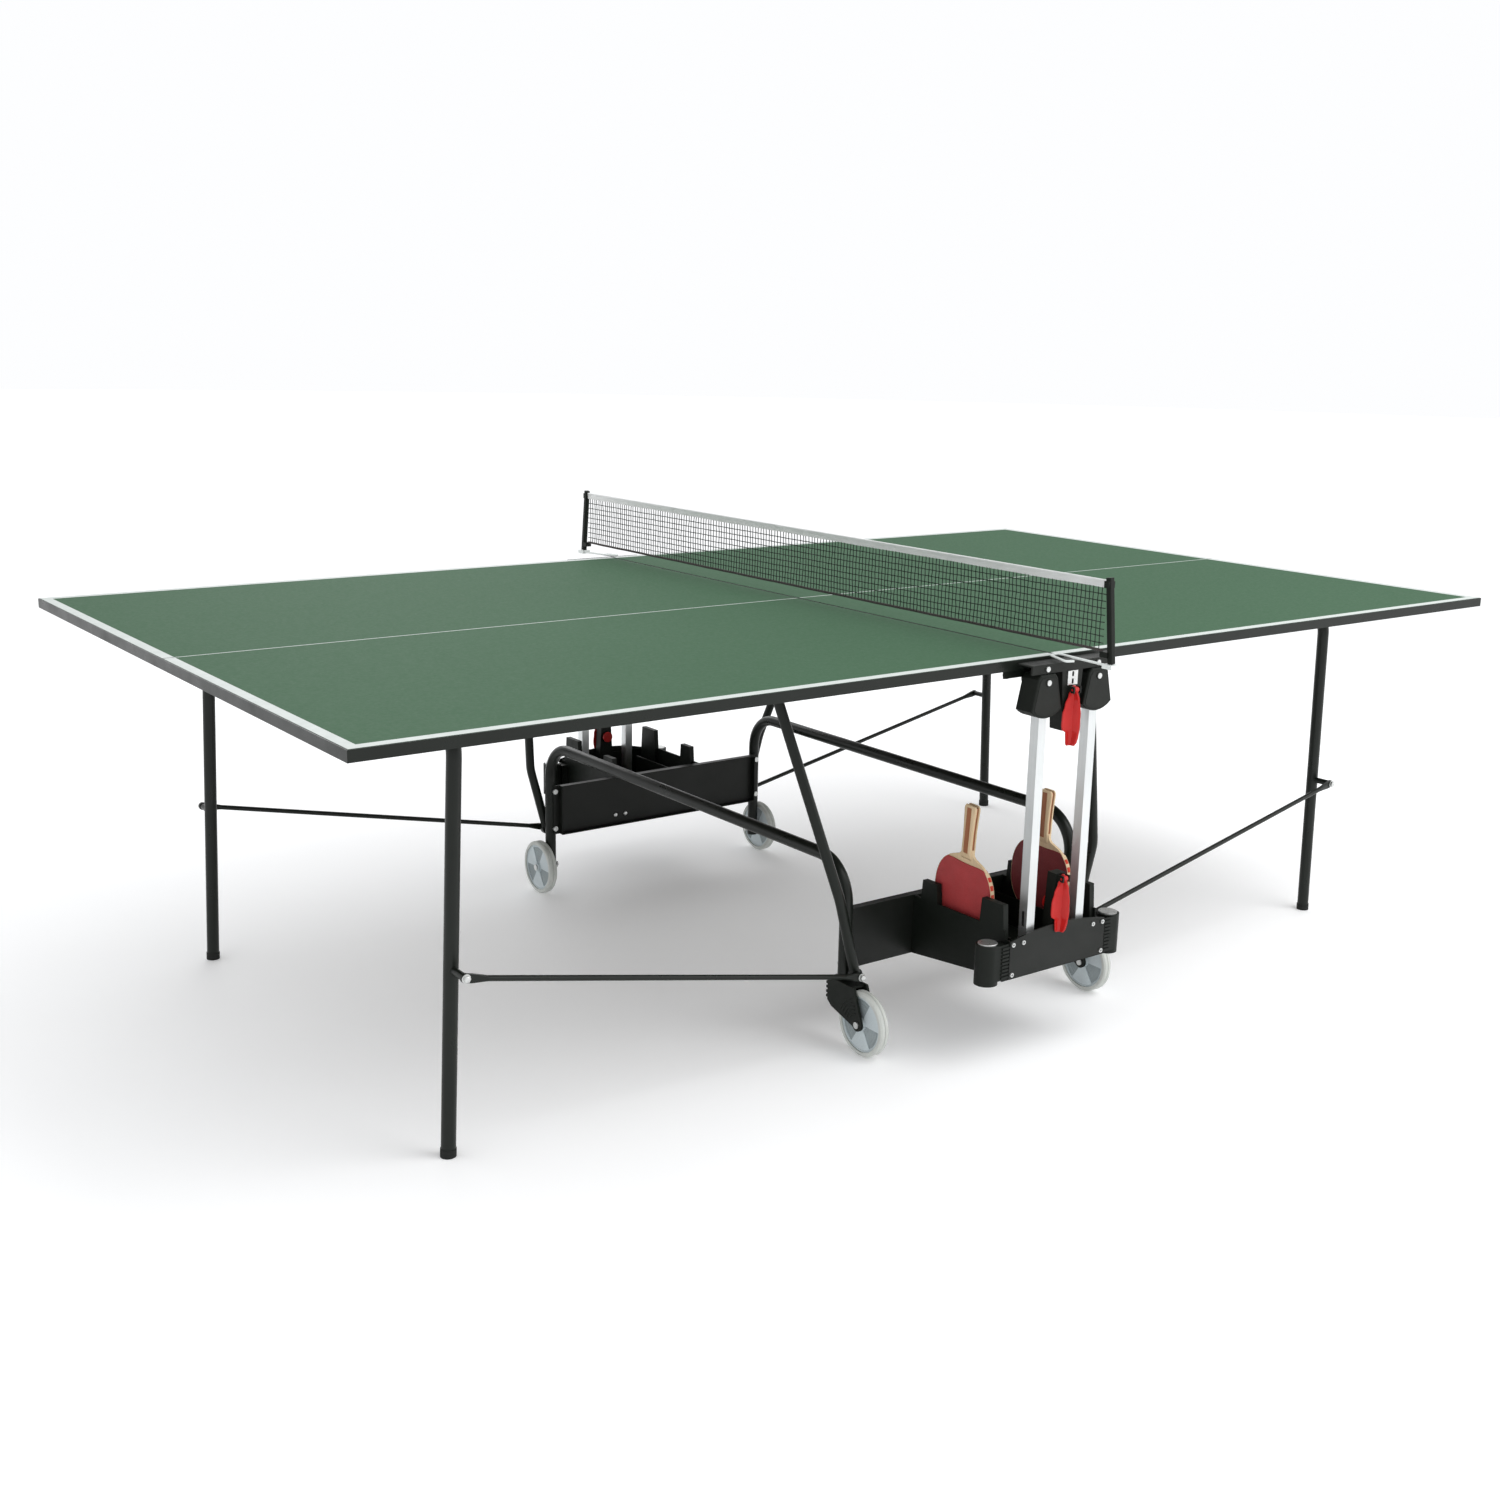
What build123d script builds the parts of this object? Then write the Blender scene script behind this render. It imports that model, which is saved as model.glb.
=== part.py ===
"""Folding ping pong table: two playing halves on a roll-away trolley, with net, locks and bats.

Millimetres. X runs along the 2740 mm length, Y across the 1525 mm width, Z up.
The origin is on the floor under the middle of the net. Left is -X, the near side is -Y.
"""

from build123d import *
import os
from math import acos, atan2, cos, degrees, hypot, radians, sin

os.makedirs("parts", exist_ok=True)

SIDES = {"near": -1, "far": 1}
HALVES = {"left": -1, "right": 1}

# Playing surface
table_length = 2740
table_width = 1525
surface_z = 760
centre_gap = 3
board_thickness = 17
rim_wall = 2.5
rim_height = 18.5
rim_lip = 25
rim_lip_thickness = 2
rim_drop = 0.5
half_width = table_width / 2
rim_bottom = surface_z - rim_drop - rim_height
board_bottom = surface_z - board_thickness

# Trolley
u_tube_x = 300
u_tube_y = 550
u_tube_top = 360
u_tube_radius = 12.5
u_tube_wall = 1.5
u_tube_bend = 80
panel_low = 143
panel_high = 262
panel_thickness = 2
panel_y = u_tube_y - u_tube_radius - panel_thickness
tray_low = 176
tray_high = 262
tray_front_top = 246
tray_wall = 3
tray_half_length = 120
tray_front = 803.5
tray_peg_depth = 12
tray_pegs = ((552, 612, 299), (714, 790, 309))
tray_rib_x = 84
tray_rib_reach = (556, 770)
tray_rib_top = 236
guard_x = 159.5
guard_y = 784
guard_radius = 22
guard_low = 168
guard_high = 245
plate_y = 804.8
plate_thickness = 3.2
plate_half_length = 125
plate_end_top = 247
plate_middle_top = 262
screw_places = ((118, 183), (118, 241), (92, 241))

# Posts, bridges and locks
post_x = 65
post_y = 787
post_size = 20
post_wall = 1.5
post_top = 745
bridge_half_length = 103
bridge_low = 738
bridge_top = 755
bridge_plate = 3
upper_lock_y = 801
upper_lock_tip = 711
strike_z = 724.5
lower_lock_y = 804.6
lower_lock_tip = 356
lever_length = 110
lever_barrel = 7
lever_back_gap = 3
lever_depth = 20
plunger_z = 295
plunger_radius = 4

# Fold mechanism of one half, in the plane of the sides
pivot_x = 65
pivot_z = 722
slide_travel = 388
trolley_pivot_x = 296
trolley_pivot_z = 148
leg_bar_x = 1099
bar_z = 728
foot_x = 1127
brace_bolt_z = 322

# Support frame, legs and braces
tube_wall = 1.5
arm_radius = 10
arm_y = 577
arm_knee_x = 338
arm_knee_z = 300
arm_top_y = 452
leg_radius = 12.5
leg_y = 545
leg_bend = 60
brace_y = 594
brace_radius = 5
brace_eye = 3
brace_eye_radius = 8
brace_flat = (12, 40)
bolt_flats = 11
rail_places = (220, 700, 1250)
rail_size = (30, 10)
rail_wall = 1.5
rail_reach = 726
foot_cap_radius = 13.6
slider_bolt_radius = 5.2

# Wheels
wheel_radius = 62.5
tyre_inner = 54
wheel_width = 22
sector_span = 56
sector_reach = (12.5, 49)
axle_radius = 4
fixed_wheel_x = 325
fixed_wheel_y = 555
caster_trail = 62
fork_top = 132

# Net
net_low = 782
net_top = 910
tape_height = 15
net_half_length = 868
net_post_size = 11
net_post_foot = (890, 764)
net_post_head = (874, 914)
bracket_wire = 2.25
bracket_turn_y = 768
bracket_hook_y = 812
clamp_reach = (878, 900)
clamp_half_width = 11

# Bats
bat_x = 100
bat_y = -663
bat_bottom = 213
bat_rest = (7, 17)
blade_length = 158
blade_width = 154
bat_length = 257

running = 0.08


def save(piece, name):
    """Labels a finished piece and writes its file."""
    piece.part.label = name
    export_step(piece.part, f"parts/{name}.step")


def same_reach(travel):
    """Distance of the support frame's bar from the middle, so that the arm fits at both ends of the fold."""
    drop = pivot_z - travel
    a = trolley_pivot_x
    rise = bar_z - trolley_pivot_z
    folded_x = pivot_x - (bar_z - pivot_z)
    folded_rise = drop - pivot_x - trolley_pivot_z
    square = (a - folded_x) ** 2 + folded_rise**2 - rise**2 - a**2
    return -square / (2 * (folded_rise + a))


arm_bar_x = same_reach(slide_travel)
folded_bar_x = pivot_x - (bar_z - pivot_z)


def folded_height(x):
    """Height that a bar at distance x reaches when its half stands upright."""
    return pivot_z - slide_travel + x - pivot_x


def turn_between(start, end):
    """Angle, in degrees, from one (outward, up) direction to another."""
    return degrees(atan2(end[1], end[0]) - atan2(start[1], start[0]))


arm_rest = (arm_bar_x - trolley_pivot_x, bar_z - trolley_pivot_z)
arm_folded = (folded_bar_x - trolley_pivot_x, folded_height(arm_bar_x) - trolley_pivot_z)
arm_turn = turn_between(arm_rest, arm_folded)

brace_bolt_x = leg_bar_x + (foot_x - leg_bar_x) * (bar_z - brace_bolt_z) / bar_z
brace_length = hypot(brace_bolt_x - trolley_pivot_x, brace_bolt_z - trolley_pivot_z)
leg_to_bolt = hypot(brace_bolt_x - leg_bar_x, bar_z - brace_bolt_z)
hang = (trolley_pivot_x - folded_bar_x, trolley_pivot_z - folded_height(leg_bar_x))
hang_length = hypot(*hang)
bend = acos((leg_to_bolt**2 + hang_length**2 - brace_length**2) / (2 * leg_to_bolt * hang_length))
leg_angle = atan2(hang[1], hang[0]) + bend
bolt_folded = (
    folded_bar_x + leg_to_bolt * cos(leg_angle),
    folded_height(leg_bar_x) + leg_to_bolt * sin(leg_angle),
)
leg_turn = turn_between(
    (brace_bolt_x - leg_bar_x, brace_bolt_z - bar_z),
    (bolt_folded[0] - folded_bar_x, bolt_folded[1] - folded_height(leg_bar_x)),
)
brace_turn = turn_between(
    (brace_bolt_x - trolley_pivot_x, brace_bolt_z - trolley_pivot_z),
    (bolt_folded[0] - trolley_pivot_x, bolt_folded[1] - trolley_pivot_z),
)
print("arm bar x", round(arm_bar_x, 3), "brace bolt x", round(brace_bolt_x, 3))
print("world turns: arm", round(arm_turn, 3), "leg", round(leg_turn, 3), "brace", round(brace_turn, 3))


def along_y(x, z, y):
    """Plane across Y at a place, with its normal towards the outside of that side."""
    return Plane(origin=(x, y, z), x_dir=(1, 0, 0), z_dir=(0, 1 if y > 0 else -1, 0))


def pin(x, z, low, high, radius, side):
    """Adds a round pin along Y between two distances from the middle."""
    with BuildSketch(along_y(x, z, side * low)) as section:
        Circle(radius)
    extrude(section.sketch, amount=high - low)


def pin_hole(x, z, low, high, radius, side):
    """Cuts a round hole along Y between two distances from the middle."""
    with BuildSketch(along_y(x, z, side * low)) as section:
        Circle(radius)
    extrude(section.sketch, amount=high - low, mode=Mode.SUBTRACT)


def hex_head(x, z, low, height, width, side):
    """Adds a six-sided bolt head along Y."""
    with BuildSketch(along_y(x, z, side * low)) as section:
        RegularPolygon(width / 2, 6, major_radius=False)
    extrude(section.sketch, amount=height)


def slab(x_range, y_range, z_range, mode=Mode.ADD):
    """Adds or cuts a block between three pairs of limits."""
    (x0, x1), (y0, y1), (z0, z1) = (sorted(pair) for pair in (x_range, y_range, z_range))
    with Locations(((x0 + x1) / 2, (y0 + y1) / 2, (z0 + z1) / 2)):
        Box(x1 - x0, y1 - y0, z1 - z0, mode=mode)


def bent_tube(points, radii, radius, wall):
    """Adds a round tube along straight runs joined by bends."""
    with BuildLine() as path:
        FilletPolyline(*points, radius=radii)
    start = Plane(origin=path.line @ 0, z_dir=path.line % 0)
    with BuildSketch(start) as section:
        Circle(radius)
        if wall:
            Circle(radius - wall, mode=Mode.SUBTRACT)
    sweep(section.sketch, path=path.line)


# ---------------------------------------------------------------- halves


def board(half):
    inner = centre_gap / 2 + rim_wall
    outer = table_length / 2 - rim_wall
    width = half_width - rim_wall
    with BuildPart() as piece:
        slab((half * inner, half * outer), (-width, width), (board_bottom, surface_z))
    return piece


def bracket_outline(half):
    """Side plate that carries the pivot: a strip with a round ear and a small round pad."""
    top = rim_bottom + 1
    with Locations((half * 88, (top + 727) / 2)):
        Rectangle(80, top - 727)
    with Locations((half * pivot_x, pivot_z)):
        Circle(16)
    with Locations((half * 121, 734.5)):
        Circle(8)


def edge_frame(half):
    """Steel rim with an inward lip, three cross rails and the two pivot brackets, welded together."""
    inner = centre_gap / 2
    length = table_length / 2 - inner
    middle = half * (inner + length / 2)
    with BuildPart() as piece:
        with BuildSketch(Plane.XY.offset(rim_bottom)):
            with Locations((middle, 0)):
                Rectangle(length, table_width)
                Rectangle(length - 2 * rim_lip, table_width - 2 * rim_lip, mode=Mode.SUBTRACT)
        extrude(amount=board_bottom - rim_bottom)
        with BuildSketch(Plane.XY.offset(rim_bottom)):
            with Locations((middle, 0)):
                Rectangle(length, table_width)
                Rectangle(length - 2 * rim_wall, table_width - 2 * rim_wall, mode=Mode.SUBTRACT)
        extrude(amount=rim_height)
        rail_width, rail_height = rail_size
        for rail_x in rail_places:
            with BuildSketch(Plane.XZ.offset(rail_reach)):
                with Locations((half * rail_x, rim_bottom - rail_height / 2)):
                    Rectangle(rail_width, rail_height)
                    Rectangle(rail_width - 2 * rail_wall, rail_height - 2 * rail_wall, mode=Mode.SUBTRACT)
            extrude(amount=-2 * rail_reach)
            for side in SIDES.values():
                slab(
                    (half * (rail_x - rail_width / 2), half * (rail_x + rail_width / 2)),
                    (side * (rail_reach - 6), side * (half_width - 12)),
                    (rim_bottom - 1.5, rim_bottom),
                )
        for side in SIDES.values():
            with BuildSketch(Plane.XZ.offset(-side * 754)):
                bracket_outline(half)
            extrude(amount=-side * 4)
            pin_hole(half * pivot_x, pivot_z, 750, 760, 6 + running, side)
    return piece


def saddle(x, y, radius):
    """Bearing block screwed under the board, with a round bore for a frame's cross bar."""
    with BuildSketch(Plane.XZ.offset(-y + 15)) as section:
        with Locations((x, (board_bottom + 709) / 2)):
            Rectangle(44, board_bottom - 709)
        with Locations((x, bar_z)):
            Circle(radius + running, mode=Mode.SUBTRACT)
    extrude(section.sketch, amount=-30)


def bar_saddles(half):
    with BuildPart() as piece:
        for y in (-300, 300):
            saddle(half * arm_bar_x, y, arm_radius)
        for y in (-400, 400):
            saddle(half * leg_bar_x, y, leg_radius)
        fillet(piece.edges().filter_by(Axis.Y).group_by(Axis.Z)[0], 4)
    return piece


# ---------------------------------------------------------------- fold linkage


def support_frame(half):
    """Trapezoid of tube from the trolley pivots up to a bar under the board."""
    low = (half * trolley_pivot_x, -arm_y, trolley_pivot_z)
    knee = (half * arm_knee_x, -arm_y, arm_knee_z)
    top = (half * arm_bar_x, -arm_top_y, bar_z)
    near = [low, knee, top]
    far = [(x, -y, z) for x, y, z in reversed(near)]
    with BuildPart() as piece:
        bent_tube(near + far, [90, 45, 45, 90], arm_radius, tube_wall)
        for side in SIDES.values():
            pin(low[0], low[2], arm_y - 6, arm_y + 6, 13, side)
            pin(low[0], low[2], u_tube_y + u_tube_radius + 1.5, arm_y + 10.6, 5, side)
    return piece


def leg_frame(half):
    """Upside-down U of tube whose top bar is its own hinge, with stand-off studs for the braces."""
    top_x = half * leg_bar_x
    foot = (half * foot_x, -leg_y, 0)
    run = Vector(top_x, -leg_y, bar_z) - Vector(*foot)
    low = Vector(*foot) + run * (8 / bar_z)
    near = [(low.X, low.Y, low.Z), (top_x, -leg_y, bar_z)]
    far = [(x, -y, z) for x, y, z in reversed(near)]
    stud_start = leg_y + leg_radius - 2
    with BuildPart() as piece:
        bent_tube(near + far, leg_bend, leg_radius, tube_wall)
        for side in SIDES.values():
            pin(half * brace_bolt_x, brace_bolt_z, stud_start, brace_y - brace_eye - 0.6, 6.5, side)
            pin(half * brace_bolt_x, brace_bolt_z, stud_start, brace_y + brace_eye + 0.6, 4.95, side)
            hex_head(half * brace_bolt_x, brace_bolt_z, brace_y + brace_eye + 0.6, 5, bolt_flats, side)
    return piece


def foot_caps(half):
    """Rubber cups on the leg ends, cut flat on the floor."""
    with BuildPart() as piece:
        for side in SIDES.values():
            foot = Vector(half * foot_x, side * leg_y, 0)
            run = Vector(half * leg_bar_x, side * leg_y, bar_z) - foot
            along = Plane(origin=foot, z_dir=run)
            with BuildSketch(along.offset(-10)):
                Circle(foot_cap_radius)
            extrude(amount=24)
            with BuildSketch(along.offset(8 / cos(atan2(foot_x - leg_bar_x, bar_z)) - 0.4)):
                Circle(leg_radius + 0.05)
            extrude(amount=40, mode=Mode.SUBTRACT)
        slab((half * 1050, half * 1200), (-600, 600), (-30, 0), mode=Mode.SUBTRACT)
    return piece


def braces(half):
    """Two rods with flattened round ends from the leg studs to the trolley pivots."""
    start = Vector(half * brace_bolt_x, 0, brace_bolt_z)
    end = Vector(half * trolley_pivot_x, 0, trolley_pivot_z)
    run = (end - start).normalized()
    with BuildPart() as piece:
        for side in SIDES.values():
            across = Vector(0, side * brace_y, 0)
            flat, round_from = brace_flat
            with BuildSketch(Plane(origin=start + run * round_from + across, z_dir=run)):
                Circle(brace_radius)
            extrude(amount=(end - start).length - 2 * round_from)
            for place, along in ((start, run), (end, -run)):
                pin(place.X, place.Z, brace_y - brace_eye, brace_y + brace_eye, brace_eye_radius, side)
                flattened = Plane(origin=place + along * flat + across, x_dir=(0, 1, 0), z_dir=along)
                rod = Plane(origin=place + along * round_from + across, x_dir=(0, 1, 0), z_dir=along)
                with BuildSketch(flattened) as blade:
                    Rectangle(2 * brace_eye, 2 * brace_eye_radius - 1)
                extrude(blade.sketch, amount=-flat)
                with BuildSketch(flattened):
                    Rectangle(2 * brace_eye, 2 * brace_eye_radius - 1)
                with BuildSketch(rod):
                    RectangleRounded(2 * brace_radius - 0.6, 2 * brace_radius - 0.6, 3)
                loft()
            hex_head(end.X, end.Z, brace_y + brace_eye, 6, bolt_flats, side)
            pin_hole(start.X, start.Z, brace_y - 10, brace_y + 10, 4.95 + running, side)
    return piece


# ---------------------------------------------------------------- sliders


def slider_caps(half):
    """Two bell-shaped housings that run on the posts and carry the half's pivot."""
    x = half * post_x
    with BuildPart() as piece:
        for side in SIDES.values():
            with BuildSketch(Plane.XZ.offset(-side * 765.5)):
                with BuildLine():
                    Line((x - 18, 737), (x + 18, 737))
                    Line((x + 18, 737), (x + 25, 729))
                    Line((x + 25, 729), (x + 38, 672))
                    ThreePointArc((x + 38, 672), (x, 657), (x - 38, 672))
                    Line((x - 38, 672), (x - 25, 729))
                    Line((x - 25, 729), (x - 18, 737))
                make_face()
            extrude(amount=-side * 40)
            outer = piece.faces().filter_by(Axis.Y).sort_by(Axis.Y)[-1 if side > 0 else 0]
            fillet(outer.edges(), 3)
            slab(
                (x - post_size / 2 - 0.4, x + post_size / 2 + 0.4),
                (side * (post_y - post_size / 2 - 0.4), side * (post_y + post_size / 2 + 0.4)),
                (600, 800),
                mode=Mode.SUBTRACT,
            )
            pin_hole(x, pivot_z, 760, post_y - post_size / 2, 6.02, side)
            pin_hole(x, pivot_z, post_y + post_size / 2, 810, 4.02, side)
    return piece


def pivot_pins(half):
    """Stepped pins through the brackets, and the bolts that close the housings."""
    x = half * post_x
    inner_face = post_y - post_size / 2 - 0.5
    outer_face = post_y + post_size / 2 + 0.5
    with BuildPart() as piece:
        for side in SIDES.values():
            pin(x, pivot_z, 747, inner_face, 6, side)
            pin(x, pivot_z, 747, 753.4, 10, side)
            pin(x, pivot_z, outer_face, 806, 4, side)
            pin(x, pivot_z, 805.5, 808.5, slider_bolt_radius, side)
    return piece


# ---------------------------------------------------------------- trolley frame


def u_tubes():
    """Two upside-down U tubes; each near leg ends in a bush for the caster's stem."""
    with BuildPart() as piece:
        for half in HALVES.values():
            x = half * u_tube_x
            points = [
                (x, -u_tube_y, fork_top + 1),
                (x, -u_tube_y, u_tube_top),
                (x, u_tube_y, u_tube_top),
                (x, u_tube_y, 46),
            ]
            bent_tube(points, u_tube_bend, u_tube_radius, u_tube_wall)
            with BuildSketch(Plane.XY.offset(fork_top + 1)):
                with Locations((x, -u_tube_y)):
                    Circle(u_tube_radius - u_tube_wall / 2)
                    Circle(6 + running, mode=Mode.SUBTRACT)
            extrude(amount=40)
            with BuildSketch(Plane.YZ.offset(x)):
                with Locations((fixed_wheel_y, wheel_radius)):
                    Circle(axle_radius + 0.02)
            extrude(amount=20, both=True, mode=Mode.SUBTRACT)
    return piece


def side_panel(side):
    """Folded steel sheet bolted to the inner faces of the tubes."""
    outer = panel_y + panel_thickness
    lip = panel_y - 14
    with BuildPart() as piece:
        slab((-300, 300), (side * panel_y, side * outer), (panel_low, panel_high))
        slab((-284, 284), (side * lip, side * outer), (panel_high - 2, panel_high))
        slab((-284, 284), (side * lip, side * outer), (panel_low, panel_low + 2))
    return piece


def wall_peg(x, back, front, top):
    """Adds an upright peg on a side wall, wide at its foot, that keeps a bat from tipping."""
    with BuildSketch(Plane.YZ.offset(x)) as section:
        with BuildLine():
            low = tray_low + tray_wall - 1
            slope = 10 if back < front else -10
            Polyline((back, low), (back + slope, top), (front - slope, top), (front, low), close=True)
        make_face()
    extrude(section.sketch, amount=-tray_peg_depth if x > 0 else tray_peg_depth)


def tray(side):
    """Open moulded box between the side panel and the front plate, with holders for two bats.

    Its skirt slopes from the foot of the panel up to the front plate.
    """
    back = panel_y + panel_thickness + 0.5
    middle = side * (back + tray_front) / 2
    depth = tray_front - back
    with BuildPart() as piece:
        with BuildSketch(Plane.XY.offset(panel_low)):
            with Locations((0, middle)):
                Rectangle(2 * tray_half_length, depth)
                Rectangle(2 * (tray_half_length - tray_wall), depth - 2 * tray_wall, mode=Mode.SUBTRACT)
        extrude(amount=tray_high - panel_low)
        with BuildSketch(Plane.XY.offset(tray_low)):
            with Locations((0, middle)):
                Rectangle(2 * tray_half_length - 1, depth - 1)
        extrude(amount=tray_wall)
        with BuildSketch(Plane.YZ.offset(-tray_half_length - 1)) as skirt:
            with BuildLine():
                Polyline(
                    (side * (back - 1), panel_low),
                    (side * (tray_front + 1), tray_low - 4),
                    (side * (tray_front + 1), panel_low - 10),
                    (side * (back - 1), panel_low - 10),
                    close=True,
                )
            make_face()
        extrude(skirt.sketch, amount=2 * tray_half_length + 2, mode=Mode.SUBTRACT)
        slab(
            (-tray_half_length - 1, tray_half_length + 1),
            (side * (tray_front - 14), side * (tray_front + 1)),
            (tray_front_top, tray_high + 1),
            mode=Mode.SUBTRACT,
        )
        for half in HALVES.values():
            for peg_back, peg_front, peg_top in tray_pegs:
                wall_peg(half * tray_half_length, side * peg_back, side * peg_front, peg_top)
            slab(
                (half * tray_rib_x, half * (tray_rib_x + 4)),
                (side * tray_rib_reach[0], side * tray_rib_reach[1]),
                (tray_low + 1, tray_rib_top),
            )
            slab(
                (half * (bat_x - bat_rest[0]), half * (bat_x + bat_rest[0])),
                (side * (-bat_y - bat_rest[1]), side * (-bat_y + bat_rest[1])),
                (tray_low + 1, bat_bottom - 0.4),
            )
            slab(
                (half * (tray_half_length - 1), half * (guard_x - guard_radius - 0.5)),
                (side * (guard_y - 10), side * tray_front),
                (tray_low - 4, tray_front_top - 8),
            )
    return piece


def front_plates():
    """Steel plates with a low arched top, one on each tray."""
    with BuildPart() as piece:
        for side in SIDES.values():
            with BuildSketch(Plane.XZ.offset(-side * plate_y)):
                with BuildLine():
                    Line((-plate_half_length, 176), (plate_half_length, 176))
                    Line((plate_half_length, 176), (plate_half_length, plate_end_top))
                    ThreePointArc(
                        (plate_half_length, plate_end_top),
                        (0, plate_middle_top),
                        (-plate_half_length, plate_end_top),
                    )
                    Line((-plate_half_length, plate_end_top), (-plate_half_length, 176))
                make_face()
            extrude(amount=-side * plate_thickness)
    return piece


def corner_guards():
    """Round columns on the trays' outer corners, each with a ribbed strip beside the plate."""
    with BuildPart() as piece:
        for half in HALVES.values():
            for side in SIDES.values():
                with BuildSketch(Plane.XY.offset(guard_low)):
                    with Locations((half * guard_x, side * guard_y)):
                        Circle(guard_radius)
                extrude(amount=guard_high - guard_low)
                slab(
                    (half * (plate_half_length + 0.5), half * guard_x),
                    (side * (plate_y - 0.6), side * (plate_y + 1.2)),
                    (176, 244),
                )
                for step in range(9):
                    low = 179 + step * 7
                    slab(
                        (half * (plate_half_length + 1.5), half * (guard_x - 16)),
                        (side * plate_y, side * (plate_y + 3.4)),
                        (low, low + 4),
                    )
    return piece


def corner_caps():
    """Flat domed discs on top of the corner guards."""
    with BuildPart() as piece:
        for half in HALVES.values():
            for side in SIDES.values():
                with BuildSketch(Plane.XY.offset(guard_high)):
                    with Locations((half * guard_x, side * guard_y)):
                        Circle(guard_radius - 4)
                extrude(amount=2.5)
        fillet(piece.faces().sort_by(Axis.Z)[-1].edges(), 1.2)
    return piece


def frame_screws():
    """All the cross-slot and hexagon screws of the trolley: plates, bridges and side panels."""
    with BuildPart() as piece:
        for side in SIDES.values():
            for half in HALVES.values():
                for x, z in screw_places:
                    pin(half * x, z, plate_y + plate_thickness, plate_y + plate_thickness + 2.2, 4.2, side)
                pin(half * post_x, 746, upper_lock_y + 0.5, upper_lock_y + 3, 5, side)
                for z in (157, 248):
                    pin(half * 296, z, panel_y - 4, panel_y, 6, side)
    return piece


def posts():
    """Four square aluminium guide tubes standing in the trays."""
    low = tray_low + tray_wall
    with BuildPart() as piece:
        for half in HALVES.values():
            for side in SIDES.values():
                with BuildSketch(Plane.XY.offset(low)):
                    with Locations((half * post_x, side * post_y)):
                        Rectangle(post_size, post_size)
                        Rectangle(post_size - 2 * post_wall, post_size - 2 * post_wall, mode=Mode.SUBTRACT)
                extrude(amount=post_top - low)
                slab(
                    (half * (post_x + post_size / 2 - 4), half * (post_x + post_size / 2 + 1)),
                    (side * (post_y - 3.5), side * (post_y + 3.5)),
                    (262, 292),
                    mode=Mode.SUBTRACT,
                )
    return piece


def wedge(top_half, low_half, top, low, inner, outer, side):
    """Adds an upright block that narrows downwards or upwards, as wide as stated at each end."""
    with BuildSketch(Plane.XZ.offset(-side * inner)) as section:
        with BuildLine():
            Polyline((-low_half, low), (low_half, low), (top_half, top), (-top_half, top), close=True)
        make_face()
    extrude(section.sketch, amount=-side * (outer - inner))


def lever_ears(face, tip, side):
    """Adds the two ears that hold a lever's barrel, bored for its trunnions."""
    z = tip - lever_barrel
    y = face + lever_back_gap + lever_barrel
    for half in HALVES.values():
        slab((half * 6.6, half * 9.4), (side * (face - 1), side * (y + 5)), (z - 6, z + 6))
    with BuildSketch(Plane.YZ) as bore:
        with Locations((side * y, z)):
            Circle(2.5 + running)
    extrude(bore.sketch, amount=12, both=True, mode=Mode.SUBTRACT)


def bridge(side):
    """T-shaped cover across two posts whose stem is the upper lock housing."""
    inner = half_width + 2.5
    with BuildPart() as piece:
        slab(
            (-bridge_half_length, bridge_half_length),
            (side * inner, side * (upper_lock_y + 0.5)),
            (bridge_top - bridge_plate, bridge_top),
        )
        slab(
            (-bridge_half_length, bridge_half_length),
            (side * (post_y + post_size / 2 + 0.6), side * (upper_lock_y + 0.5)),
            (bridge_low, bridge_top),
        )
        edges = piece.edges().filter_by(Axis.Y).group_by(Axis.Z)[-1]
        fillet(edges, 2.5)
        wedge(27.5, 18, bridge_top - 1, 628, 770, upper_lock_y, side)
        lever_ears(upper_lock_y, upper_lock_tip, side)
    return piece


def strike_plates():
    """Bright plates with two slots, set on the upper lock housings."""
    with BuildPart() as piece:
        for side in SIDES.values():
            with BuildSketch(Plane.XZ.offset(-side * upper_lock_y)):
                with Locations((0, strike_z)):
                    Rectangle(25, 26)
                with Locations((0, strike_z + 7), (0, strike_z - 6)):
                    SlotOverall(10, 5, rotation=90, mode=Mode.SUBTRACT)
            extrude(amount=-side * 1.5)
    return piece


def lock_towers():
    """Lower lock housings rising from the trays, bored for the plungers."""
    with BuildPart() as piece:
        for side in SIDES.values():
            wedge(12.5, 23, lower_lock_tip + 1, tray_low + tray_wall, post_y - 4, lower_lock_y - 0.4, side)
            lever_ears(lower_lock_y, lower_lock_tip, side)
            pin_hole(0, plunger_z, 760, 850, plunger_radius + running, side)
            wall = tray_front - tray_wall - 0.3
            slab((-30, 30), (side * wall, side * 810), (170, tray_front_top + 0.5), mode=Mode.SUBTRACT)
    return piece


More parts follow.
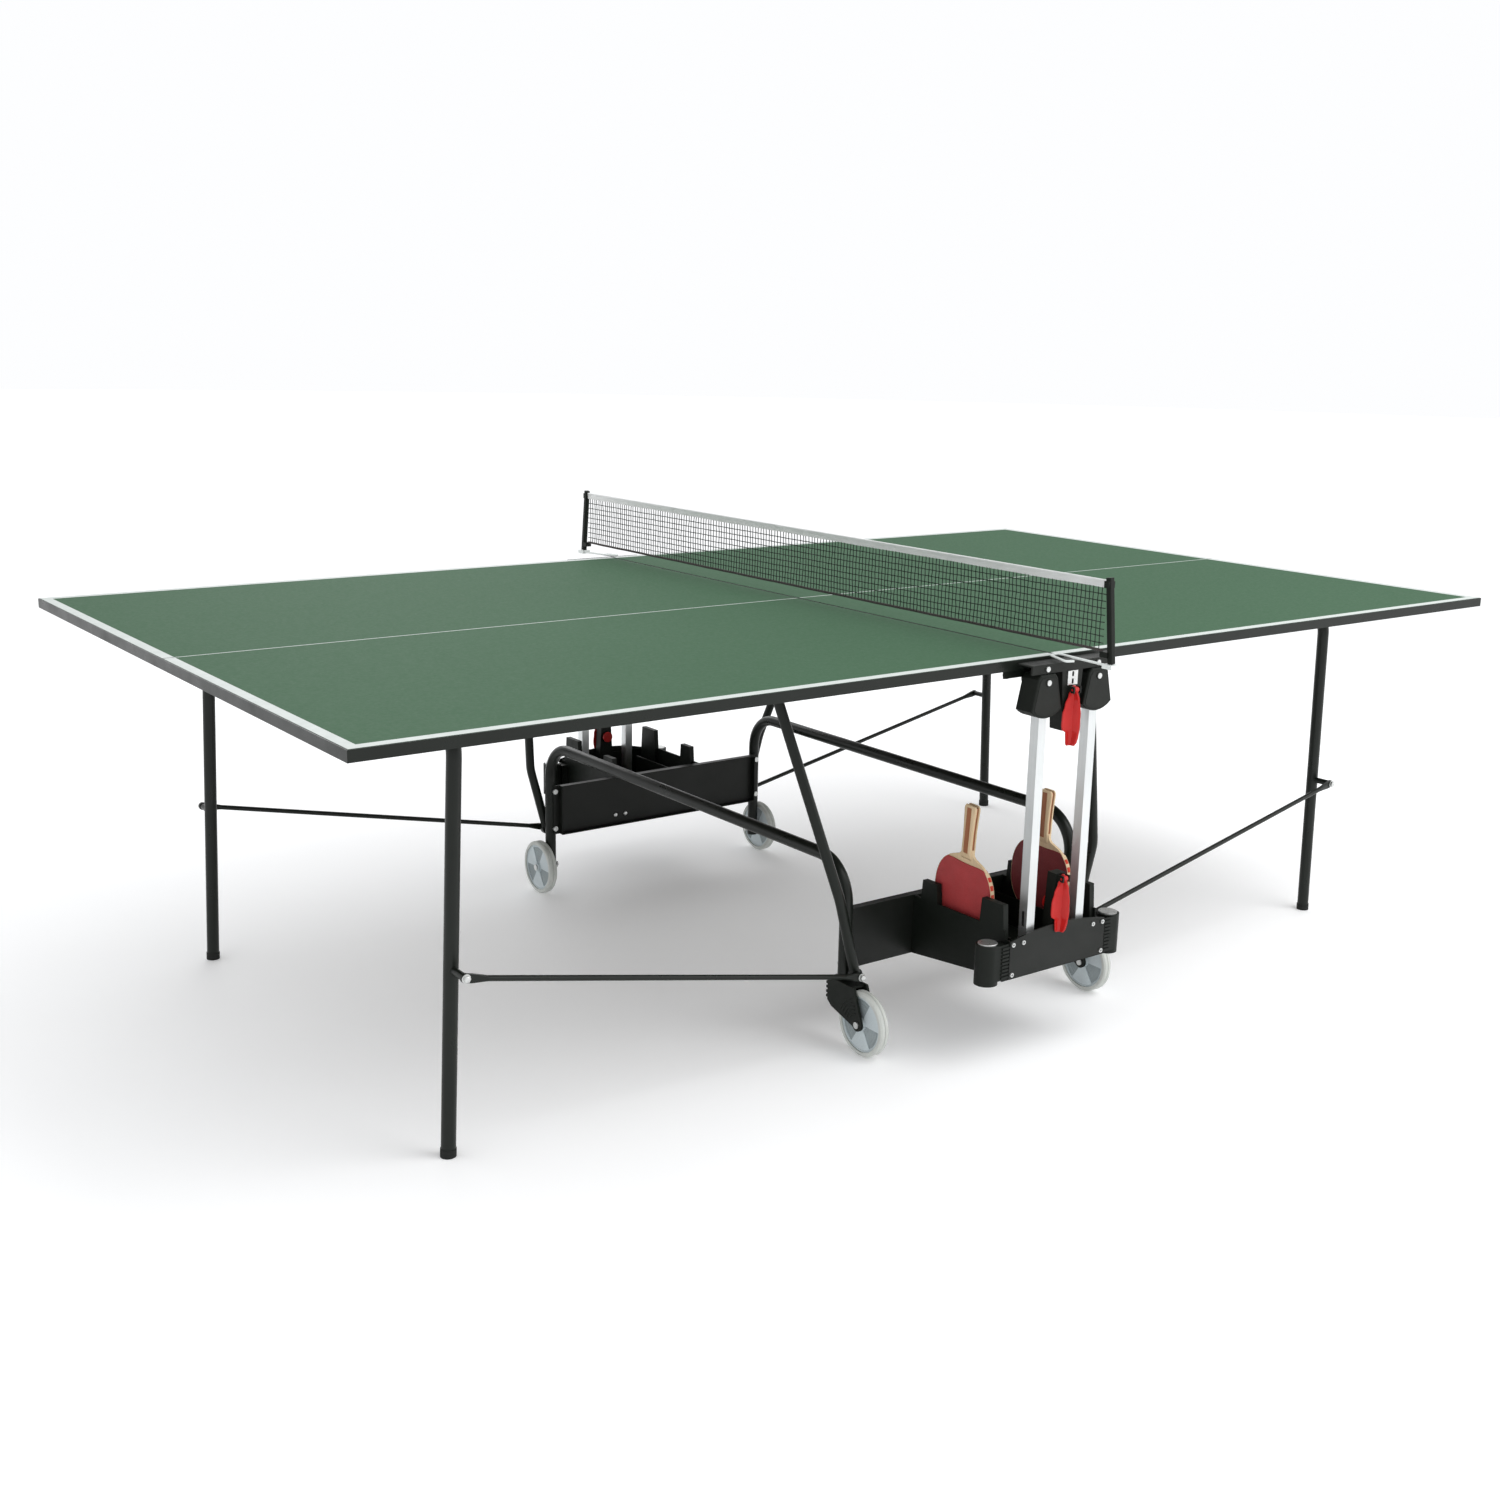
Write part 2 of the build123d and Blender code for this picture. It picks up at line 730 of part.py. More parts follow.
def lever(face, tip, side):
    """Pull lever: a round barrel at the top and a leaf-shaped grip with a raised ridge."""
    back = face + lever_back_gap
    z = tip - lever_barrel
    neck = z - 9
    end = tip - lever_length
    barrel_y = back + lever_barrel
    with BuildPart() as piece:
        with BuildSketch(Plane.XZ.offset(-side * (back + 1))):
            with BuildLine():
                Line((-5.5, neck), (5.5, neck))
                Spline((5.5, neck), (23, z - 44), (22, z - 72), (15, end))
                Line((15, end), (-15, end))
                Spline((-15, end), (-22, z - 72), (-23, z - 44), (-5.5, neck))
            make_face()
        with BuildSketch(Plane.XZ.offset(-side * (back + lever_depth))):
            with BuildLine():
                Line((-2, neck - 6), (2, neck - 6))
                Spline((2, neck - 6), (7, z - 44), (8, z - 72), (7, end + 3))
                Line((7, end + 3), (-7, end + 3))
                Spline((-7, end + 3), (-8, z - 72), (-7, z - 44), (-2, neck - 6))
            make_face()
        loft()
        slab((-5.5, 5.5), (side * (back + 1), side * (barrel_y + 5)), (neck - 1, z))
        with BuildSketch(Plane.YZ):
            with Locations((side * barrel_y, z)):
                Circle(lever_barrel)
        extrude(amount=6, both=True)
        with BuildSketch(Plane.YZ):
            with Locations((side * barrel_y, z)):
                Circle(2.5)
        extrude(amount=9.4, both=True)
    return piece


def plunger(side):
    """Lock bolt with a round red end on the inner side of the lower housing."""
    with BuildPart() as piece:
        pin(0, plunger_z, post_y - 12.5, lower_lock_y + 1, plunger_radius, side)
        pin(0, plunger_z, post_y - 13, post_y - 9.5, 13, side)
    return piece


# ---------------------------------------------------------------- wheels


def wheel_parts(x, y):
    """Hub with three sunk sectors on each face, and its tyre with a centre groove."""
    disc = Plane.YZ.offset(x)
    with BuildPart() as hub:
        with BuildSketch(disc):
            with Locations((y, wheel_radius)):
                Circle(tyre_inner)
        extrude(amount=7, both=True)
        with BuildSketch(disc):
            with Locations((y, wheel_radius)):
                Circle(11)
        extrude(amount=wheel_width / 2 + 0.5, both=True)
        for sign in (-1, 1):
            with BuildSketch(disc.offset(sign * 5)):
                with Locations((y, wheel_radius)):
                    for turn in (90, 210, 330):
                        low_turn, high_turn = turn - sector_span / 2, turn + sector_span / 2
                        short, long = sector_reach
                        with BuildLine():
                            CenterArc((y, wheel_radius), long, low_turn, sector_span)
                            CenterArc((y, wheel_radius), short, low_turn, sector_span)
                            for angle in (radians(low_turn), radians(high_turn)):
                                Line(
                                    (y + short * cos(angle), wheel_radius + short * sin(angle)),
                                    (y + long * cos(angle), wheel_radius + long * sin(angle)),
                                )
                        make_face()
            extrude(amount=sign * 3, mode=Mode.SUBTRACT)
        with BuildSketch(disc):
            with Locations((y, wheel_radius)):
                Circle(axle_radius + 0.05)
        extrude(amount=wheel_width, both=True, mode=Mode.SUBTRACT)
    with BuildPart() as tyre:
        with BuildSketch(Plane(origin=(x, y, wheel_radius), x_dir=(0, 0, 1), z_dir=(0, -1, 0))):
            with BuildLine():
                low, high, edge = tyre_inner, wheel_radius, wheel_width / 2 - 1
                Polyline((low, -edge), (high - 2.5, -edge), (high, -edge + 3), (high, -1.2))
                Polyline((high, -1.2), (high - 1.6, 0), (high, 1.2))
                Polyline((high, 1.2), (high, edge - 3), (high - 2.5, edge), (low, edge), (low, -edge))
            make_face()
        revolve(axis=Axis((x, y, wheel_radius), (1, 0, 0)))
    return hub, tyre


def rear_axles():
    """Bolts that carry the fixed wheels on the far ends of the tubes."""
    with BuildPart() as piece:
        for half in HALVES.values():
            inner = u_tube_x - u_tube_radius - 3
            outer = fixed_wheel_x + wheel_width / 2 + 1
            with BuildSketch(Plane.YZ.offset(half * inner)):
                with Locations((fixed_wheel_y, wheel_radius)):
                    Circle(axle_radius)
            extrude(amount=half * (outer - inner))
            with BuildSketch(Plane.YZ.offset(half * outer)):
                with Locations((fixed_wheel_y, wheel_radius)):
                    Circle(7)
            extrude(amount=half * 3)
            with BuildSketch(Plane.YZ.offset(half * (inner - 4))):
                with Locations((fixed_wheel_y, wheel_radius)):
                    RegularPolygon(7, 6, major_radius=False)
            extrude(amount=half * 4)
    return piece


def caster_fork(half):
    """Moulded fork with a closed ribbed back, on an upright stem that turns in the tube."""
    x = half * u_tube_x
    y = -u_tube_y
    gap = wheel_width / 2 + 2
    with BuildPart() as piece:
        for sign in (-1, 1):
            with BuildSketch(Plane.YZ.offset(x + sign * gap)):
                with BuildLine():
                    Line((y + 26, fork_top), (y - 50, fork_top))
                    Line((y - 50, fork_top), (y - caster_trail - 13, wheel_radius + 6))
                    ThreePointArc(
                        (y - caster_trail - 13, wheel_radius + 6),
                        (y - caster_trail, wheel_radius - 12),
                        (y - caster_trail + 11, wheel_radius - 6),
                    )
                    Line((y - caster_trail + 11, wheel_radius - 6), (y + 14, 76))
                    Line((y + 14, 76), (y + 26, 86))
                    Line((y + 26, 86), (y + 26, fork_top))
                make_face()
            extrude(amount=sign * 5)
        slab((x - gap, x + gap), (y - 44, y + 26), (fork_top - 5, fork_top))
        slab((x - gap, x + gap), (y + 17, y + 26), (86, fork_top))
        for low in (90, 99, 108, 117):
            slab((x - gap - 5, x + gap + 5), (y + 26, y + 30), (low, low + 5))
        with BuildSketch(Plane.XY.offset(fork_top - 2)):
            with Locations((x, y)):
                Circle(6)
        extrude(amount=48)
        with BuildSketch(Plane.YZ.offset(x)):
            with Locations((y - caster_trail, wheel_radius)):
                Circle(axle_radius + 0.02)
        extrude(amount=40, both=True, mode=Mode.SUBTRACT)
    return piece


def caster_axle(half):
    x = half * u_tube_x
    reach = wheel_width / 2 + 7
    with BuildPart() as piece:
        with BuildSketch(Plane.YZ.offset(x)):
            with Locations((-u_tube_y - caster_trail, wheel_radius)):
                Circle(axle_radius)
        extrude(amount=reach, both=True)
        for sign in (-1, 1):
            with BuildSketch(Plane.YZ.offset(x + sign * reach)):
                with Locations((-u_tube_y - caster_trail, wheel_radius)):
                    Circle(6.5)
            extrude(amount=sign * 2.5)
    return piece


# ---------------------------------------------------------------- net


def net_band(low, high, thickness):
    with BuildPart() as piece:
        slab((-thickness / 2, thickness / 2), (-net_half_length, net_half_length), (low, high))
    return piece


def net_posts():
    """Square posts outside the edges, leaning slightly inwards."""
    with BuildPart() as piece:
        for side in SIDES.values():
            foot = Vector(0, side * net_post_foot[0], net_post_foot[1])
            head = Vector(0, side * net_post_head[0], net_post_head[1])
            with BuildSketch(Plane(origin=foot, x_dir=(1, 0, 0), z_dir=head - foot)):
                RectangleRounded(net_post_size, net_post_size, 2)
            extrude(amount=(head - foot).length)
            slab((-8, 8), (side * (net_half_length + 0.3), side * 886), (774, 784))
            slab((-8, 8), (side * (net_half_length + 0.3), side * 879), (896, 908))
    return piece


def net_brackets():
    """White wire arms from beside the table's edges to the net posts, with a clamp at each foot."""
    over_table = surface_z + bracket_wire + 0.4
    at_post = bridge_top + bracket_wire + 1
    with BuildPart() as piece:
        for side in SIDES.values():
            post_y = side * (clamp_reach[0] + clamp_reach[1]) / 2
            hook_y = side * bracket_hook_y
            points = [
                (side * -4, post_y, at_post),
                (side * 4, side * bracket_turn_y, over_table),
                (side * 26, side * bracket_turn_y, over_table),
                (side * 32, hook_y, at_post + 0.5),
                (side * 17, hook_y + side * 6, at_post + 0.5),
            ]
            bent_tube(points, [8, 8, 6], bracket_wire, 0)
            slab(
                (-clamp_half_width, clamp_half_width),
                (side * clamp_reach[0], side * clamp_reach[1]),
                (at_post - 3, net_post_foot[1] - 0.9),
            )
    return piece


# ---------------------------------------------------------------- bats


def bat(half):
    """Bat standing on its blade, handle up, between the pegs of the near tray."""
    centre_z = bat_bottom + blade_length / 2
    upright = Plane(origin=(half * bat_x, bat_y, 0), x_dir=(0, -1, 0), z_dir=(-1, 0, 0))
    with BuildPart() as piece:
        with BuildSketch(upright.offset(-5)):
            with Locations((0, centre_z)):
                Ellipse(blade_width / 2, blade_length / 2)
        extrude(amount=10)
        with BuildSketch(upright.offset(-11)):
            with BuildLine():
                Polyline(
                    (-13, centre_z + 66),
                    (-15, bat_bottom + bat_length),
                    (15, bat_bottom + bat_length),
                    (13, centre_z + 66),
                    close=True,
                )
            make_face()
        extrude(amount=22)
        fillet(piece.faces().sort_by(Axis.Z)[-1].edges(), 3)
    return piece


# ---------------------------------------------------------------- write every piece

for half_name, half_sign in HALVES.items():
    save(board(half_sign), f"board_{half_name}")
    save(edge_frame(half_sign), f"edge_frame_{half_name}")
    save(bar_saddles(half_sign), f"bar_saddles_{half_name}")
    save(support_frame(half_sign), f"support_frame_{half_name}")
    save(leg_frame(half_sign), f"leg_frame_{half_name}")
    save(foot_caps(half_sign), f"foot_caps_{half_name}")
    save(braces(half_sign), f"braces_{half_name}")
    save(slider_caps(half_sign), f"slider_caps_{half_name}")
    save(pivot_pins(half_sign), f"pivot_pins_{half_name}")
    save(caster_fork(half_sign), f"caster_fork_{half_name}")
    save(caster_axle(half_sign), f"caster_axle_{half_name}")
    save(bat(half_sign), f"bat_{half_name}")
    near_hub, near_tyre = wheel_parts(half_sign * u_tube_x, -u_tube_y - caster_trail)
    save(near_hub, f"caster_hub_{half_name}")
    save(near_tyre, f"caster_tyre_{half_name}")
    far_hub, far_tyre = wheel_parts(half_sign * fixed_wheel_x, fixed_wheel_y)
    save(far_hub, f"rear_hub_{half_name}")
    save(far_tyre, f"rear_tyre_{half_name}")

for side_name, side_sign in SIDES.items():
    save(side_panel(side_sign), f"side_panel_{side_name}")
    save(tray(side_sign), f"tray_{side_name}")
    save(bridge(side_sign), f"bridge_{side_name}")
    save(lever(upper_lock_y, upper_lock_tip, side_sign), f"upper_lever_{side_name}")
    save(lever(lower_lock_y, lower_lock_tip, side_sign), f"lower_lever_{side_name}")
    save(plunger(side_sign), f"lock_plunger_{side_name}")

save(u_tubes(), "u_tubes")
save(front_plates(), "front_plates")
save(corner_guards(), "corner_guards")
save(corner_caps(), "corner_caps")
save(frame_screws(), "frame_screws")
save(posts(), "posts")
save(strike_plates(), "strike_plates")
save(lock_towers(), "lock_towers")
save(rear_axles(), "rear_axles")
save(net_band(net_low, net_top - tape_height, 2), "net")
save(net_band(net_top - tape_height, net_top, 5), "net_tape")
save(net_posts(), "net_posts")
save(net_brackets(), "net_brackets")
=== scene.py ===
import random
from math import asin, cos, pi, radians, sin

import bmesh
import bpy
from mathutils import Matrix, Vector


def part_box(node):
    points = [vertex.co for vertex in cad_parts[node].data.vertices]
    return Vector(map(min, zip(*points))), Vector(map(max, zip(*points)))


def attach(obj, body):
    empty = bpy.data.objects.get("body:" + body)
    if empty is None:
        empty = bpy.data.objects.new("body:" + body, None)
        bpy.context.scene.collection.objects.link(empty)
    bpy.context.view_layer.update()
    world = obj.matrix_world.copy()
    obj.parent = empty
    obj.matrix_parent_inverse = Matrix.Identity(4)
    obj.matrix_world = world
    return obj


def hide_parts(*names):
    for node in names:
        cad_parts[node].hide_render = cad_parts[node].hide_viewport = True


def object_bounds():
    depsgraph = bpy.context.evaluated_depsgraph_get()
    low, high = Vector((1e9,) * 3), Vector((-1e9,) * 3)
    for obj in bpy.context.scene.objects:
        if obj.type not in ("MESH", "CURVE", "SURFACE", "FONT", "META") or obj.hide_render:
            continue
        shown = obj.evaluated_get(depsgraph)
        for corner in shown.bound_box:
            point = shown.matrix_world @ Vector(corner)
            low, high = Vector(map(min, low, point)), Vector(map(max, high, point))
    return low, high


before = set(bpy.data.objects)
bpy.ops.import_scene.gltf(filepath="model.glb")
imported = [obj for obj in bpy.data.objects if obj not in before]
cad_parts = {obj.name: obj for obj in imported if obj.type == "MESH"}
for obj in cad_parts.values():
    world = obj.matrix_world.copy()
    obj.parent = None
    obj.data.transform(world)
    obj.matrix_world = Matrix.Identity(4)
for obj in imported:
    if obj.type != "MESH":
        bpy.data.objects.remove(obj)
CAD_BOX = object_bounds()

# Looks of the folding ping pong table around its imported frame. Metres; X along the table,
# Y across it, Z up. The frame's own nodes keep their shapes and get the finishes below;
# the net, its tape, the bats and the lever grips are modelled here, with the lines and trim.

random.seed(7)
MM = 0.001
HALVES = {"left": -1, "right": 1}
SIDES = {"near": -1, "far": 1}

# Where the frame's pins, posts and panels stand: distance from the middle, and height
BRACE_STUD = (1114.615 * MM, 322 * MM)
TROLLEY_PIVOT = (296 * MM, 148 * MM)
SLIDER_PIVOT = (65 * MM, 722 * MM)
POST_OUTER_X = 75 * MM
POST_Y = 787 * MM
PANEL_INNER_Y = 535.5 * MM

# Sockets of a colour Mix node
COLOUR_A = 6
COLOUR_B = 7
COLOUR_OUT = 2


# ---------------------------------------------------------------- camera, light, floor


def add_camera():
    """Camera a little above the near left corner of the table."""
    right = Vector((0.8044, -0.5937, 0.0195))
    down = Vector((-0.1261, -0.2028, -0.9711))
    forward = Vector((0.5805, 0.7787, -0.2380))
    turn = Matrix((right, -down, -forward)).transposed().to_4x4()
    data = bpy.data.cameras.new("camera")
    data.sensor_width = 36
    data.lens = 41.58
    camera = bpy.data.objects.new("camera", data)
    camera.matrix_world = Matrix.Translation((-2.2907, -2.9089, 1.3278)) @ turn
    bpy.context.scene.collection.objects.link(camera)
    bpy.context.scene.camera = camera


def area_light(name, place, target, size, power):
    """Round lamp that faces a target."""
    data = bpy.data.lights.new(name, "AREA")
    data.shape = "DISK"
    data.size = size
    data.energy = power
    light = bpy.data.objects.new(name, data)
    light.location = place
    light.rotation_euler = (Vector(target) - Vector(place)).to_track_quat("-Z", "Y").to_euler()
    bpy.context.scene.collection.objects.link(light)


def add_light():
    """White studio sky with three large soft lamps."""
    world = bpy.data.worlds.new("studio")
    world.use_nodes = True
    sky = world.node_tree.nodes["Background"]
    sky.inputs["Color"].default_value = (0.985, 0.99, 1, 1)
    sky.inputs["Strength"].default_value = 1.0
    bpy.context.scene.world = world
    bpy.context.scene.view_settings.view_transform = "Standard"
    area_light("key", (1.2, -2.6, 4.0), (0.2, 0, 0.6), 3.0, 80)
    area_light("fill", (3.5, -3.5, 2.2), (0, 0, 0.4), 3.0, 35)
    area_light("back", (1.0, 4.5, 3.2), (0, 0, 0.6), 3.0, 40)


# ---------------------------------------------------------------- finishes


class Finish:
    """A node material: base colour broken up by noise, uneven roughness and fine relief."""

    def __init__(self, name, colour, roughness, metallic=0.0, **shader):
        self.material = bpy.data.materials.new(name)
        self.material.use_nodes = True
        self.tree = self.material.node_tree
        self.shader = self.tree.nodes["Principled BSDF"]
        self.place = self.tree.nodes.new("ShaderNodeTexCoord").outputs["Object"]
        self.roughness = roughness
        self.colour = None
        self.relief = None
        self.flat = (*colour, 1)
        self.shader.inputs["Base Color"].default_value = self.flat
        self.shader.inputs["Roughness"].default_value = roughness
        self.shader.inputs["Metallic"].default_value = metallic
        for socket, value in shader.items():
            self.shader.inputs[socket.replace("_", " ")].default_value = value

    def stretched(self, stretch):
        """Place on the object, scaled along each axis to draw a pattern out into grain."""
        if stretch is None:
            return self.place
        node = self.tree.nodes.new("ShaderNodeMapping")
        node.inputs["Scale"].default_value = stretch
        self.tree.links.new(self.place, node.inputs["Vector"])
        return node.outputs["Vector"]

    def noise(self, scale, detail=2.0, stretch=None):
        """Cloudy pattern; scales are in features to the metre."""
        node = self.tree.nodes.new("ShaderNodeTexNoise")
        node.inputs["Scale"].default_value = scale
        node.inputs["Detail"].default_value = detail
        self.tree.links.new(self.stretched(stretch), node.inputs["Vector"])
        return node.outputs["Fac"]

    def cells(self, scale):
        """Pattern of small round grains."""
        node = self.tree.nodes.new("ShaderNodeTexVoronoi")
        node.inputs["Scale"].default_value = scale
        self.tree.links.new(self.place, node.inputs["Vector"])
        return node.outputs["Distance"]

    def waves(self, scale, direction, distortion=0.0):
        """Parallel bands across an axis."""
        node = self.tree.nodes.new("ShaderNodeTexWave")
        node.bands_direction = direction
        node.inputs["Scale"].default_value = scale
        node.inputs["Distortion"].default_value = distortion
        self.tree.links.new(self.place, node.inputs["Vector"])
        return node.outputs["Fac"]

    def ranged(self, value, low, high, start=0.3, end=0.7):
        """Maps the part of a pattern between start and end onto low to high."""
        node = self.tree.nodes.new("ShaderNodeMapRange")
        node.inputs["From Min"].default_value = start
        node.inputs["From Max"].default_value = end
        node.inputs["To Min"].default_value = low
        node.inputs["To Max"].default_value = high
        self.tree.links.new(value, node.inputs["Value"])
        return node.outputs["Result"]

    def tint(self, pattern, other, amount=1.0, start=0.3, end=0.7):
        """Mixes another colour in where the pattern is high."""
        mix = self.tree.nodes.new("ShaderNodeMix")
        mix.data_type = "RGBA"
        self.tree.links.new(self.ranged(pattern, 0, amount, start, end), mix.inputs["Factor"])
        if self.colour is None:
            mix.inputs[COLOUR_A].default_value = self.flat
        else:
            self.tree.links.new(self.colour, mix.inputs[COLOUR_A])
        mix.inputs[COLOUR_B].default_value = (*other, 1)
        self.colour = mix.outputs[COLOUR_OUT]
        self.tree.links.new(self.colour, self.shader.inputs["Base Color"])
        return self

    def uneven(self, pattern, spread):
        """Lets the roughness wander to both sides of its value."""
        value = self.ranged(pattern, self.roughness - spread, self.roughness + spread)
        self.tree.links.new(value, self.shader.inputs["Roughness"])
        return self

    def bump(self, pattern, depth):
        """Adds relief of a depth given in millimetres."""
        node = self.tree.nodes.new("ShaderNodeBump")
        node.inputs["Distance"].default_value = depth * MM
        self.tree.links.new(pattern, node.inputs["Height"])
        if self.relief is not None:
            self.tree.links.new(self.relief, node.inputs["Normal"])
        self.relief = node.outputs["Normal"]
        self.tree.links.new(self.relief, self.shader.inputs["Normal"])
        return self


def shade(colour, factor):
    """The same colour, lighter or darker by a factor."""
    return tuple(min(1, c * factor) for c in colour)


def lacquered_board():
    """Matt green lacquer with a fine grain."""
    green = (0.05, 0.112, 0.062)
    f = Finish("lacquered_board", green, 0.6, Specular_IOR_Level=0.04)
    f.tint(f.noise(1.6, 2), shade(green, 1.1), 0.35)
    f.tint(f.noise(260, 2), shade(green, 0.86), 0.5)
    f.tint(f.noise(1500, 1), shade(green, 1.3), 0.3, 0.52, 0.7)
    f.uneven(f.noise(160, 4), 0.05)
    f.bump(f.noise(420, 2), 0.06)
    return f.bump(f.noise(1600, 1), 0.03)


def line_paint():
    """Thin white paint, slightly worn."""
    white = (0.56, 0.6, 0.58)
    f = Finish("line_paint", white, 0.55, Specular_IOR_Level=0.2)
    f.tint(f.noise(60, 3), shade(white, 0.9), 0.6)
    f.tint(f.noise(900, 2), shade(white, 0.82), 0.4, 0.55, 0.75)
    f.uneven(f.noise(30), 0.06)
    return f.bump(f.noise(700, 2), 0.05)


def hardboard():
    """Bare pressed brown board."""
    brown = (0.075, 0.062, 0.048)
    f = Finish("hardboard", brown, 0.8)
    f.tint(f.noise(700, 4, (1, 0.3, 1)), shade(brown, 1.7), 0.7)
    f.tint(f.noise(14, 4), shade(brown, 0.7), 0.5)
    return f.bump(f.noise(1100, 3, (1, 0.4, 1)), 0.12)


def powder_coat(name, colour, roughness):
    """Coated steel with a fine orange peel."""
    f = Finish(name, colour, roughness, Specular_IOR_Level=0.26)
    f.tint(f.noise(12, 4), shade(colour, 1.35), 0.8)
    f.tint(f.noise(1300, 2), shade(colour, 1.9), 0.4, 0.55, 0.72)
    f.uneven(f.noise(18, 3), 0.07)
    f.bump(f.noise(620, 2), 0.09)
    return f.bump(f.noise(1900, 1), 0.03)


def grained_plastic(name, colour, roughness, grain=1500, specular=0.18):
    """Moulded plastic with a leathery grain."""
    f = Finish(name, colour, roughness, Specular_IOR_Level=specular)
    f.tint(f.noise(20, 3), shade(colour, 1.3), 0.7)
    f.tint(f.noise(grain * 0.6, 2), shade(colour, 0.75), 0.4)
    f.uneven(f.noise(45, 3), 0.06)
    f.bump(f.cells(grain), 0.06)
    return f.bump(f.noise(90, 2), 0.08)


def rubber(name, colour, grain=900):
    """Dull rubber, dusty in places."""
    f = Finish(name, colour, 0.78, Specular_IOR_Level=0.3)
    f.tint(f.noise(40, 4), shade(colour, 1.5), 0.7)
    f.tint(f.noise(600, 3), shade(colour, 0.7), 0.5)
    f.bump(f.noise(grain, 3), 0.1)
    return f.bump(f.noise(130, 2), 0.1)


def anodised():
    """Drawn aluminium with fine lines along its length."""
    silver = (0.66, 0.68, 0.68)
    f = Finish("anodised", silver, 0.36, 0.85)
    f.tint(f.noise(900, 3, (1, 1, 0.012)), shade(silver, 0.86), 0.7)
    f.tint(f.noise(7, 3), shade(silver, 1.1), 0.6)
    f.uneven(f.noise(700, 2, (1, 1, 0.02)), 0.06)
    return f.bump(f.noise(1500, 2, (1, 1, 0.01)), 0.02)


def zinc_plate():
    """Zinc-plated steel with small spangles."""
    zinc = (0.62, 0.63, 0.62)
    f = Finish("zinc_plate", zinc, 0.34, 0.9)
    f.tint(f.cells(450), shade(zinc, 0.82), 0.6, 0.2, 0.7)
    f.tint(f.noise(120, 3), shade(zinc, 1.18), 0.6)
    f.uneven(f.noise(300, 3), 0.08)
    return f.bump(f.noise(1400, 2), 0.03)


def tyre_tread():
    """Pale rubber tyre with specks of dirt."""
    cream = (0.56, 0.58, 0.55)
    f = Finish("tyre_tread", cream, 0.62, Specular_IOR_Level=0.35)
    f.tint(f.noise(35, 4), shade(cream, 0.8), 0.6)
    f.tint(f.noise(500, 4), shade(cream, 0.55), 0.4, 0.56, 0.75)
    return f.bump(f.noise(800, 2), 0.1)


def twisted_cord():
    """Dark cord with slanted strands."""
    black = (0.008, 0.013, 0.01)
    f = Finish("twisted_cord", black, 0.7, Specular_IOR_Level=0.3)
    f.tint(f.noise(300, 3), shade(black, 2.2), 0.6)
    return f.bump(f.waves(700, "DIAGONAL", 1.0), 0.2)


def woven(name, colour, pitch):
    """Plain weave of yarns running along and across the band."""
    f = Finish(name, colour, 0.85, Specular_IOR_Level=0.2)
    f.shader.inputs["Sheen Weight"].default_value = 0.15
    f.tint(f.noise(25, 4), shade(colour, 0.9), 0.7)
    f.tint(f.waves(pitch, "Y"), shade(colour, 0.8), 0.35)
    f.tint(f.waves(pitch, "Z"), shade(colour, 0.8), 0.35)
    f.bump(f.waves(pitch, "Y", 0.4), 0.12)
    return f.bump(f.waves(pitch, "Z", 0.4), 0.12)


def white_coat():
    """Smooth white coating of the wire brackets."""
    white = (0.72, 0.76, 0.74)
    f = Finish("white_coat", white, 0.3)
    f.tint(f.noise(50, 3), shade(white, 0.88), 0.6)
    f.uneven(f.noise(80, 2), 0.06)
    return f.bump(f.noise(500, 2), 0.08)


def bat_rubber(name, colour):
    """Pimpled red rubber with chalky wear."""
    f = Finish(name, colour, 0.55, Specular_IOR_Level=0.35)
    f.tint(f.noise(28, 4), shade(colour, 1.35), 0.6)
    f.tint(f.noise(1100, 2), shade(colour, 0.6), 0.6)
    f.tint(f.noise(2400, 1), (0.55, 0.3, 0.29), 0.18, 0.58, 0.75)
    f.uneven(f.noise(60, 3), 0.08)
    return f.bump(f.cells(900), 0.12)


def wood(name, colour, dark):
    """Straight grain running upwards."""
    f = Finish(name, colour, 0.5, Specular_IOR_Level=0.4)
    f.tint(f.noise(420, 5, (1, 1, 0.03)), dark, 0.75)
    f.tint(f.noise(40, 3, (1, 1, 0.2)), shade(colour, 0.8), 0.5)
    f.uneven(f.noise(300, 3, (1, 1, 0.05)), 0.08)
    return f.bump(f.noise(600, 4, (1, 1, 0.03)), 0.06)


BOARD = lacquered_board()
LINE = line_paint()
HARDBOARD = hardboard()
STEEL = powder_coat("powder_coat", (0.0058, 0.0078, 0.0058), 0.32)
PLATE_STEEL = powder_coat("plate_coat", (0.005, 0.0062, 0.0048), 0.46)
PLASTIC = grained_plastic("black_plastic", (0.0065, 0.0085, 0.0065), 0.5)
CAP_PLASTIC = grained_plastic("cap_plastic", (0.0105, 0.012, 0.01), 0.44, 2200)
RUBBER = rubber("black_rubber", (0.0095, 0.011, 0.0095))
ANODISED = anodised()
ZINC = zinc_plate()
WHEEL = grained_plastic("wheel_plastic", (0.5, 0.56, 0.58), 0.36, 1300, 0.35)
# Same plastic as WHEEL at about half the brightness: painted shade in the wheels' sunk sectors
SECTOR_SHADE = grained_plastic("wheel_sector_shade", (0.27, 0.31, 0.32), 0.45, 900, 0.35)
TYRE = tyre_tread()
RED = grained_plastic("red_plastic", (0.44, 0.012, 0.01), 0.34, 1800, 0.3)
CORD = twisted_cord()
HEM = woven("net_hem", (0.055, 0.045, 0.042), 900)
TAPE = woven("tape_weave", (0.96, 0.965, 0.96), 1100)
THREAD = rubber("white_thread", (0.7, 0.7, 0.68))
WHITE = white_coat()
# Near-black rubber finish used as painted shade inside the post slots and the screw recesses
RECESS_SHADE = rubber("recess_shade", (0.006, 0.006, 0.006))
